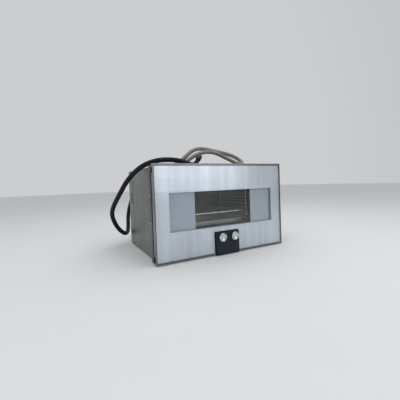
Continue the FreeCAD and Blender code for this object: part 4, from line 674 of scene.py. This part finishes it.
@dataclass(frozen=True)
class Pane:
    """An upright flat plate with broken edges, and if need be rounded corners, a notch or an opening.

    Its first face is at depth front, and it reaches back by its gauge.
    """

    half: float
    low: float
    top: float
    front: float
    gauge: float
    corner: float = 0.0
    notch_half: float = 0.0
    notch_top: float = 0.0
    border: float = 0.0
    edge: float = 0.4 * MM

    @property
    def middle(self) -> float:
        """The height of the plate's middle."""
        return (self.low + self.top) / 2.0

    def place(self) -> Matrix:
        """Gives the turn and shift that stand the flat plate up in its place."""
        return Matrix.Translation((0.0, self.front, self.middle)) @ Axis.FRONT.value

    def model(self) -> None:
        """Models the plate lying at the origin and leaves it in edit mode."""
        deselect()
        bpy.ops.mesh.primitive_plane_add(size=1.0)
        bpy.ops.object.mode_set(mode="EDIT")
        select_all()
        size = (2.0 * self.half, self.top - self.low, 1.0)
        bpy.ops.transform.resize(value=size, center_override=(0.0, 0.0, 0.0))
        if self.corner:
            bpy.ops.mesh.bevel(offset=self.corner, segments=CORNER_STEPS, affect="VERTICES")
        if self.notch_half:
            self.cut_notch()
        if self.border:
            select_all()
            bpy.ops.mesh.inset(thickness=self.border, depth=0.0)
            bpy.ops.mesh.delete(type="FACE")
            if self.notch_half:
                self.take_faces(self.notch_half + self.border, self.notch_top + self.border)
        select_all()
        bpy.ops.mesh.extrude_region_move(TRANSFORM_OT_translate={"value": (0.0, 0.0, -self.gauge)})
        select_all()
        bpy.ops.mesh.normals_make_consistent(inside=False)
        self.break_edges()

    def cut_notch(self) -> None:
        """Takes the notch out of the plate's lower edge."""
        for across in (-self.notch_half, self.notch_half):
            select_all()
            bpy.ops.mesh.bisect(plane_co=(across, 0.0, 0.0), plane_no=(1.0, 0.0, 0.0))
        select_all()
        bpy.ops.mesh.bisect(plane_co=(0.0, self.notch_top - self.middle, 0.0), plane_no=(0.0, 1.0, 0.0))
        self.take_faces(self.notch_half, self.notch_top)

    def take_faces(self, half: float, top: float) -> None:
        """Takes away the faces about the middle of the lower edge.

        Args:
            half: How far to either side the faces' middles may be.
            top: The height that their middles stay under.
        """
        crown = top - self.middle
        bpy.ops.mesh.select_all(action="DESELECT")
        bpy.ops.object.mode_set(mode="OBJECT")
        for face in bpy.context.object.data.polygons:
            face.select = abs(face.center.x) < half and face.center.y < crown
        bpy.ops.object.mode_set(mode="EDIT")
        bpy.ops.mesh.delete(type="FACE")

    def break_edges(self) -> None:
        """Breaks the plate's sharp edges."""
        bpy.ops.mesh.select_mode(type="EDGE")
        bpy.ops.mesh.select_all(action="DESELECT")
        bpy.ops.mesh.edges_select_sharp(sharpness=math.radians(SHARP_ANGLE))
        bpy.ops.mesh.bevel(offset=min(self.edge, self.gauge / 4.0), segments=EDGE_STEPS, affect="EDGES")
        bpy.ops.mesh.select_mode(type="FACE")


# Hoses

@dataclass(frozen=True)
class Hose:
    """A free hose along a route of points, shown as one smooth tube with its own map."""

    name: str
    route: Sequence[Point]
    diameter: float
    length: float
    finish: Finish
    slot: str
    sides: int = 28
    steps: int = 8

    def centreline(self) -> list[Vector]:
        """Reads points from a smooth spline with the route's points as its controls."""
        curve = bpy.data.curves.new(f"{self.name}_line", "CURVE")
        curve.dimensions = "3D"
        curve.resolution_u = self.steps
        spline = curve.splines.new("NURBS")
        spline.points.add(len(self.route) - 1)
        for point, place in zip(spline.points, self.route):
            point.co = (*place, 1.0)
        spline.order_u = 3
        spline.use_endpoint_u = True
        holder = bpy.data.objects.new(f"{self.name}_line", curve)
        mesh = bpy.data.meshes.new_from_object(holder)
        points = [vertex.co.copy() for vertex in mesh.vertices]
        bpy.data.objects.remove(holder)
        bpy.data.curves.remove(curve)
        bpy.data.meshes.remove(mesh)
        return points

    def make(self) -> tuple[Piece, list[Vector]]:
        """Builds the tube round its centreline.

        Returns:
            The hose and the points it follows.
        """
        points = self.centreline()
        mesh = bpy.data.meshes.new(self.name)
        hose = bpy.data.objects.new(self.name, mesh)
        bpy.context.scene.collection.objects.link(hose)
        rims: list[Vector] = []
        travelled = [0.0]
        side = Vector((1.0, 0.0, 0.0))
        for index, point in enumerate(points):
            before = points[max(index - 1, 0)]
            after = points[min(index + 1, len(points) - 1)]
            heading = (after - before).normalized()
            side = (side - heading * side.dot(heading)).normalized()
            lift = heading.cross(side)
            if index:
                travelled.append(travelled[-1] + (point - points[index - 1]).length)
            for turn in range(self.sides):
                angle = 2.0 * math.pi * turn / self.sides
                outward = side * math.cos(angle) + lift * math.sin(angle)
                rims.append(point + outward * self.diameter / 2.0)
        faces, maps = self.walls(len(points), travelled)
        mesh.from_pydata(rims, [], faces)
        layer = mesh.uv_layers.new(name="HoseMap")
        layer.data.foreach_set("uv", [value for corner in maps for value in corner])
        mesh.shade_smooth()
        mesh.materials.append(self.finish.material())
        mesh.update()
        return hose, points

    def walls(self, count: int, travelled: Sequence[float]) -> tuple[list[Face], list[Span]]:
        """Lists the tube's faces and their corners on the map.

        Args:
            count: How many rings the tube has.
            travelled: How far along the hose each ring is, in metres.

        Returns:
            The faces, with both end caps, and a map corner for each face corner.
        """
        girth = math.pi * self.diameter
        faces: list[Face] = []
        maps: list[Span] = []
        for ring in range(count - 1):
            for turn in range(self.sides):
                follow = (turn + 1) % self.sides
                low, high = ring * self.sides, (ring + 1) * self.sides
                faces.append((low + turn, low + follow, high + follow, high + turn))
                near, far = travelled[ring] / girth, travelled[ring + 1] / girth
                first, last = turn / self.sides, (turn + 1) / self.sides
                maps += [(near, first), (near, last), (far, last), (far, first)]
        start_cap = tuple(reversed(range(self.sides)))
        end_cap = tuple(range((count - 1) * self.sides, count * self.sides))
        for cap, at in ((start_cap, 0.0), (end_cap, travelled[-1] / girth)):
            faces.append(cap)
            maps += [(at, 0.0)] * self.sides
        return faces, maps


def route(*points: Point) -> list[Point]:
    """Turns the points of a route from millimetres into metres."""
    return [tuple(value / 1000.0 for value in point) for point in points]


INLET_ROUTE = route(
    (-295, 310.5, 330), (-295, 350.5, 330), (-300, 386, 314), (-310, 409, 280), (-323, 416, 238),
    (-336, 412, 194), (-346, 396, 150), (-353, 367, 111), (-363, 329, 78), (-381, 292, 61),
    (-409, 265, 74), (-441, 243, 108), (-468, 217, 156), (-484, 180, 205), (-482, 137, 245),
    (-469, 93, 288), (-451, 48, 335), (-430, -2, 388), (-401, -56, 432), (-370, -102, 462),
    (-333, -133, 479), (-290, -146, 488), (-242, -144, 490), (-190, -133, 488), (-143, -117, 479),
    (-108, -102, 471), (-79, -90, 468), (-56, -80, 480), (-40, -72, 500),
)
DRAIN_ROUTE = route(
    (-60, 318.5, 300), (-60, 358.5, 300), (-61, 393, 323), (-64, 413, 358), (-68, 416, 399),
    (-74, 402, 438), (-84, 371, 466), (-96, 327, 481), (-110, 268, 481), (-127, 206, 471),
    (-146, 150, 465), (-160, 100, 465), (-162, 61, 467), (-149, 29, 475), (-124, 10, 490), (-96, 3, 512),
    (-67, 1, 538), (-30, 0, 565), (16, 0, 574), (65, 0, 569), (116, 0, 560), (168, 0, 552), (219, 1, 542),
    (262, 2, 530), (293, -6, 512), (303, -30, 490), (283, -52, 474), (246, -56, 478), (211, -48, 496),
    (166, -43, 516), (123, -42, 535), (80, -42, 547), (36, -42, 549), (-9, -42, 541), (-51, -41, 523),
    (-84, -38, 501), (-118, -31, 479), (-157, -17, 466), (-200, 6, 464), (-237, 42, 464), (-258, 92, 464),
)


@dataclass
class Water:
    """The two hoses with their fittings, and the water parts behind the casing."""

    inlet: Hose = Hose("inlet_hose_cover", INLET_ROUTE, 0.025, 1.387, WEAVE, "inlet_hose_black")
    drain: Hose = Hose("drain_hose_wall", DRAIN_ROUTE, 0.023, 1.816, DRAWN, "drain_hose_grey")

    def build(self) -> None:
        """Makes both hoses and dresses the fittings."""
        self.lay(self.inlet, "inlet_hose")
        self.lay(self.drain, "drain_hose")
        dress(NUT, "inlet_union_nut", "hose_end_nut")
        dress(CUFF, "drain_cuff")
        dress(BOILER, "steam_boiler")
        dress(TUBE, "boiler_pipes", "drain_pipes")
        dress(PUMP, "inlet_valve", "drain_pump")

    def lay(self, hose: Hose, node: str) -> None:
        """Makes one hose in place of its packed tube.

        Args:
            hose: The hose.
            node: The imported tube.
        """
        piece, points = hose.make()
        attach(piece, "casing")
        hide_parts(node)
        log.info("laid %s", hose.name)


# Sub-assemblies

@dataclass
class Casing:
    """The sheet casing, the front frame, the screws that hold the sheets and a matt black sheet behind each
    side vent, which is painted shade for the vent slots.
    """

    frame_half: float = 372.0 * MM
    frame_screw_depth: float = -210.5 * MM
    frame_screw_heights: Sequence[float] = (52.0 * MM, 184.0 * MM, 316.0 * MM)
    case_half: float = 355.0 * MM
    case_top: float = 452.0 * MM
    case_back: float = 280.5 * MM
    seam_depth: float = 201.5 * MM
    seam_screw_heights: Sequence[float] = (30.0 * MM, 150.0 * MM, 225.0 * MM, 420.0 * MM)
    top_screw_places: Sequence[float] = (-300.0 * MM, -150.0 * MM, 0.0, 150.0 * MM, 300.0 * MM)
    back_screw_half: float = 335.0 * MM
    back_screw_heights: Sequence[float] = (25.0 * MM, 225.0 * MM, 425.0 * MM)
    screw_radius: float = 3.5 * MM
    screw_rise: float = 1.6 * MM
    screw_sides: int = 24
    screw_shares: Sequence[Span] = (
        (1.0, 0.0), (1.0, 0.25), (0.92, 0.6), (0.7, 0.92), (0.45, 1.0), (0.4, 0.35))
    # Painted shade: a matt black sheet behind each side vent, put there so the vent slots read dark.
    shade_sheet: Pane = Pane(12.5 * MM, 254.0 * MM, 323.0 * MM, -353.0 * MM, 0.5 * MM, 2.0 * MM)
    shade_sheet_depth: float = 222.5 * MM

    def build(self) -> None:
        """Dresses the sheets and makes their screws and the black sheets behind the side vents, painted shade
        that makes the vent slots read dark.
        """
        dress(ZINC, "base_pan", "left_side_panel", "right_side_panel", "top_cover", "rear_cover")
        dress(FRAME_STEEL, "front_frame")
        dress(MOTOR, "hinge_brackets", "hinge_leaves")
        dress(FASTENER, "hinge_pins", "door_magnet")
        dress(RUBBER, "base_feet")
        dress(CUFF, "mains_gland")
        heads = self.screws("frame_screw_heads", self.frame_places())
        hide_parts("frame_screws")
        self.screws("sheet_screw_heads", self.sheet_places())
        # Painted shade: black sheets behind the side vents stand in for the shade inside the slots.
        self.shade_sheet.model()
        shift = Matrix.Translation((0.0, self.shade_sheet_depth, 0.0))
        places = [shift @ side.value @ self.shade_sheet.place() for side in Side]
        settle_copies("side_vent_shade_sheet", places, SHADE_BLACK, "casing")

    def side_places(self, side: float, half: float, depth: float, heights: Sequence[float]) -> list[Matrix]:
        """Lists the places of an upright row of screws on one side.

        Args:
            side: Which side, -1 for the left and 1 for the right.
            half: How far the side's face is from the middle.
            depth: The row's depth.
            heights: The screws' heights.

        Returns:
            The places, each with its Z axis pointing outwards.
        """
        turn = Matrix.Rotation(math.radians(90.0 * side), 4, "Y")
        return [Matrix.Translation((side * half, depth, height)) @ turn for height in heights]

    def frame_places(self) -> list[Matrix]:
        """Lists the places of the screws in the frame's rim."""
        places = []
        for side in (-1.0, 1.0):
            places += self.side_places(
                side, self.frame_half, self.frame_screw_depth, self.frame_screw_heights)
        return places

    def sheet_places(self) -> list[Matrix]:
        """Lists the places of the screws along the seams of the rear cover."""
        places = []
        for side in (-1.0, 1.0):
            places += self.side_places(side, self.case_half, self.seam_depth, self.seam_screw_heights)
            for height in self.back_screw_heights:
                seat = Matrix.Translation((side * self.back_screw_half, self.case_back, height))
                places.append(seat @ Axis.BACK.value)
        for across in self.top_screw_places:
            places.append(Matrix.Translation((across, self.seam_depth, self.case_top)))
        return places

    def screws(self, name: str, places: Sequence[Matrix]) -> Piece:
        """Makes round screw heads with a driver recess.

        Args:
            name: The name of the joined heads.
            places: Where each head sits, with its axis along Z.

        Returns:
            The heads as one piece.
        """
        rings = [(wide * self.screw_radius, high * self.screw_rise) for wide, high in self.screw_shares]
        Turning(rings, self.screw_sides).model()
        return settle_copies(name, places, FASTENER, "casing")


@dataclass
class Cavity:
    """The cooking cavity and what hangs in it."""

    def build(self) -> None:
        """Dresses the cavity."""
        dress(CAVITY, "cavity_liner", "fan_baffle")
        dress(TRAY, "perforated_tray")
        dress(GASKET, "cavity_gasket")
        dress(WOOL, "insulation_jacket")
        dress(CERAMIC, "lamp_housing")
        dress(INNER_PANE, "lamp_cover")
        dress(CHROME, "left_rack", "right_rack", "wire_shelf")
        dress(HEATED, "ring_heater")


@dataclass
class Works:
    """Fans, motors and electrics behind the sheets."""

    def build(self) -> None:
        """Dresses the works."""
        dress(PRESSED, "fan_wheel", "blower_wheel", "air_duct", "blower_housing", "rotary_encoders")
        dress(MOTOR, "fan_motor", "blower_motor")
        dress(CARRIER, "board_carrier", "terminal_box")
        dress(LAMINATE, "power_board", "control_board")


@dataclass
class ControlModule:
    """The control module with its two spun knobs.

    The knob's foot and rim are insets from its radius with heights from its base or depths under its top.
    Its dish is shares of the radius with depths under the top. Insets, heights and depths are in millimetres.
    """

    radius: float = 21.0 * MM
    base: float = -293.0 * MM
    reach: float = 12.5 * MM
    height: float = 92.0 * MM
    pitch: float = 73.0 * MM
    spindle: float = 3.0 * MM
    spindle_length: float = 15.0 * MM
    foot: Sequence[Span] = ((1.5, 0.0), (1.5, 1.2), (0.3, 1.8), (0.0, 2.4))
    rim: Sequence[Span] = ((0.0, 1.5), (0.45, 0.45), (1.5, 0.0))
    dish: Sequence[Span] = (
        (0.86, 0.0), (0.83, 0.5), (0.72, 2.1), (0.56, 3.5), (0.38, 4.4), (0.2, 4.9), (0.04, 5.0))
    sides: int = 96

    def build(self) -> None:
        """Dresses the module and makes its knobs."""
        dress(MODULE, "module_housing", "module_panel", "display_unit")
        for side, body in ((-1.0, "left_knob"), (1.0, "right_knob")):
            self.knob(side, body)

    def knob(self, side: float, body: str) -> None:
        """Turns one knob: a waisted foot, a straight grip, a rolled rim and a dished face.

        Args:
            side: Which side of the module's middle it is on.
            body: The knob's body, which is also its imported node.
        """
        wide, tall = self.radius, self.reach
        rings = [(self.spindle, -self.spindle_length), (self.spindle, 0.0)]
        rings += [(wide - inset * MM, height * MM) for inset, height in self.foot]
        rings += [(wide - inset * MM, tall - depth * MM) for inset, depth in self.rim]
        rings += [(wide * share, tall - depth * MM) for share, depth in self.dish]
        Turning(rings, self.sides).model()
        place = Matrix.Translation((side * self.pitch / 2.0, self.base, self.height)) @ Axis.FRONT.value
        piece = settle(f"{body}_spun", place, SPUN, body)
        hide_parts(body)


@dataclass
class Door:
    """The glass door with its trims, its panes and black caps at its hinge edge, which are painted shade for
    the hinge slots.
    """

    glass: Pane = Pane(372.2 * MM, 9.8 * MM, 451.2 * MM, -281.5 * MM, 4.6 * MM,
                       notch_half=76.3 * MM, notch_top=124.3 * MM)
    middle: Pane = Pane(188.0 * MM, 133.0 * MM, 345.0 * MM, -244.0 * MM, 3.7 * MM, edge=0.3 * MM)
    inner: Pane = Pane(226.0 * MM, 122.0 * MM, 394.0 * MM, -238.2 * MM, 3.7 * MM, 18.0 * MM, edge=0.5 * MM)
    printed: Pane = Pane(225.0 * MM, 123.0 * MM, 393.0 * MM, -238.45 * MM, 0.15 * MM, 17.0 * MM,
                         border=24.0 * MM)
    seal: Pane = Pane(372.9 * MM, 9.1 * MM, 451.9 * MM, -282.0 * MM, 0.9 * MM, notch_half=75.6 * MM,
                      notch_top=125.0 * MM, border=2.4 * MM, edge=0.2 * MM)
    # Painted shade: black caps on the door's hinge edge stand in for the dark hinge slots.
    cap: Pane = Pane(7.4 * MM, 0.0, 25.0 * MM, -376.3 * MM, 0.6 * MM, 1.5 * MM, edge=0.1 * MM)
    shade_cap_depth: float = -264.2 * MM
    shade_cap_heights: Sequence[float] = (13.0 * MM, 418.0 * MM)
    flat: float = 10.0

    def build(self) -> None:
        """Dresses the door and makes its panes, its seal and the black caps at its hinge edge that paint the
        shade of the hinge slots.
        """
        dress(FACING, "door_facing", "door_notch_trim")
        dress(MASK, "door_window_mask")
        dress(SHELL, "door_shell")
        dress(TRIM, "door_top_trim", "door_bottom_trims", "door_side_trims")
        for name, shape, finish, slot, node in (
            ("front_pane", self.glass, FRONT_PANE, "front_glass", "door_glass"),
            ("middle_pane", self.middle, INNER_PANE, "clear_glass", "door_middle_glass"),
            ("inner_pane", self.inner, INNER_PANE, "clear_glass", "door_inner_glass"),
        ):
            piece = self.plate(name, shape, finish)
            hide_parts(node)
        self.plate("inner_pane_border", self.printed, FRIT)
        self.plate("front_pane_seal", self.seal, GASKET)
        # Painted shade: matt black caps where the hinge slots are, in place of the shade inside those slots.
        self.cap.model()
        seat = Side.LEFT.value @ self.cap.place()
        places = [Matrix.Translation((0.0, self.shade_cap_depth, height)) @ seat for height in self.shade_cap_heights]
        settle_copies("hinge_slot_shades", places, SHADE_BLACK, "door", self.flat)

    def plate(self, name: str, shape: Pane, finish: Finish) -> Piece:
        """Makes one flat piece of the door.

        Args:
            name: The piece's name.
            shape: Its size and place.
            finish: Its finish.

        Returns:
            The finished piece.
        """
        shape.model()
        return settle(name, shape.place(), finish, "door", self.flat)


# Studio

@dataclass(frozen=True)
class Lamp:
    """One soft light: its place and target, its width and height in metres, its watts and its colour."""

    name: str
    place: Point
    target: Point
    size: Span
    power: float
    colour: Colour

    def hang(self) -> None:
        """Hangs the light and points it at its target."""
        data = bpy.data.lights.new(self.name, "AREA")
        data.shape = "RECTANGLE"
        data.size, data.size_y = self.size
        data.energy = self.power
        data.color = self.colour
        light = bpy.data.objects.new(self.name, data)
        light.location = self.place
        heading = Vector(self.target) - Vector(self.place)
        light.rotation_euler = heading.to_track_quat("-Z", "Y").to_euler()
        bpy.context.scene.collection.objects.link(light)


@dataclass
class Studio:
    """The camera, the pale floor, the soft lights and the surroundings."""

    camera_place: Point = (-0.72158, -1.36694, 0.36531)
    camera_turn: Point = (88.4475, 2.0606, -28.0063)
    sensor: float = 36.0
    lens: float = 23.052
    shift: float = -0.025
    floor_size: float = 30.0
    floor_colour: Colour = (0.66, 0.665, 0.67)
    floor_rough: float = 0.8
    patches: float = 0.01
    patches_scale: float = 1.5
    lamps: Sequence[Lamp] = (
        Lamp("window", (0.92, -2.35, 1.23), (0.92, 0.0, 1.23), (1.7, 1.9), 12.0, (0.96, 0.98, 1.0)),
        Lamp("fill", (-2.4, -1.4, 1.3), (0.0, -0.1, 0.25), (1.6, 1.6), 6.0, (1.0, 0.99, 0.97)),
        Lamp("ceiling", (0.2, -0.2, 2.7), (0.0, -0.1, 0.25), (3.0, 3.0), 34.0, (1.0, 1.0, 1.0)),
    )
    sky_colour: tuple[float, float, float, float] = (0.97, 0.985, 1.0, 1.0)
    rise: Span = (-0.1, 0.9)
    rise_light: Span = (0.30, 0.85)
    backdrop: Span = (-0.6, 0.6)
    backdrop_light: Span = (0.36, 0.62)

    def aim(self) -> None:
        """Sets up the camera of the photograph's view."""
        data = bpy.data.cameras.new("view")
        data.sensor_width = self.sensor
        data.lens = self.lens
        data.shift_y = self.shift
        camera = bpy.data.objects.new("view", data)
        camera.location = self.camera_place
        camera.rotation_euler = Euler([math.radians(angle) for angle in self.camera_turn])
        bpy.context.scene.collection.objects.link(camera)
        bpy.context.scene.camera = camera

    def floor(self) -> None:
        """Lays the pale floor."""
        deselect()
        bpy.ops.mesh.primitive_plane_add(size=self.floor_size)
        floor = bpy.context.object
        floor.name = "floor"
        shader = Shader("floor_paint")
        soil = shader.group(handling_marks, Scale=self.patches_scale)
        shader.feed("Base Color", shader.shade(soil.outputs["Mask"], self.floor_colour, self.patches))
        shader.feed("Roughness", self.floor_rough)
        floor.data.materials.append(shader.material)

    def surround(self) -> None:
        """Sets the surroundings.

        What the camera, gloss and glass see goes by depth and is palest behind the object. All other light
        goes by height and is strongest overhead.
        """
        world = bpy.data.worlds.new("surroundings")
        bpy.context.scene.world = world
        world.use_nodes = True
        tree = world.node_tree
        place = tree.nodes.new("ShaderNodeTexCoord")
        parts = tree.nodes.new("ShaderNodeSeparateXYZ")
        tree.links.new(place.outputs["Generated"], parts.inputs["Vector"])
        path = tree.nodes.new("ShaderNodeLightPath").outputs
        shown = plain_math(tree, "MAXIMUM", path["Is Camera Ray"], path["Is Glossy Ray"])
        shown = plain_math(tree, "MAXIMUM", shown, path["Is Transmission Ray"])
        seen = tree.nodes.new("ShaderNodeMix")
        tree.links.new(shown, seen.inputs["Factor"])
        room = map_range(tree, parts.outputs["Z"], self.rise, self.rise_light)
        backdrop = map_range(tree, parts.outputs["Y"], self.backdrop, self.backdrop_light)
        tree.links.new(room, seen.inputs["A"])
        tree.links.new(backdrop, seen.inputs["B"])
        back = tree.nodes["Background"]
        back.inputs["Color"].default_value = self.sky_colour
        tree.links.new(seen.outputs["Result"], back.inputs["Strength"])
        bpy.context.scene.view_settings.view_transform = "Standard"

    def build(self) -> None:
        """Sets up the whole studio."""
        self.aim()
        self.floor()
        for lamp in self.lamps:
            lamp.hang()
        self.surround()


def main() -> None:
    """Builds the object piece by piece."""
    logging.basicConfig(level=logging.INFO, format="%(message)s")
    for part in (Studio(), Water(), Casing(), Cavity(), Works(), ControlModule(), Door()):
        part.build()


if __name__ == "__main__":
    main()
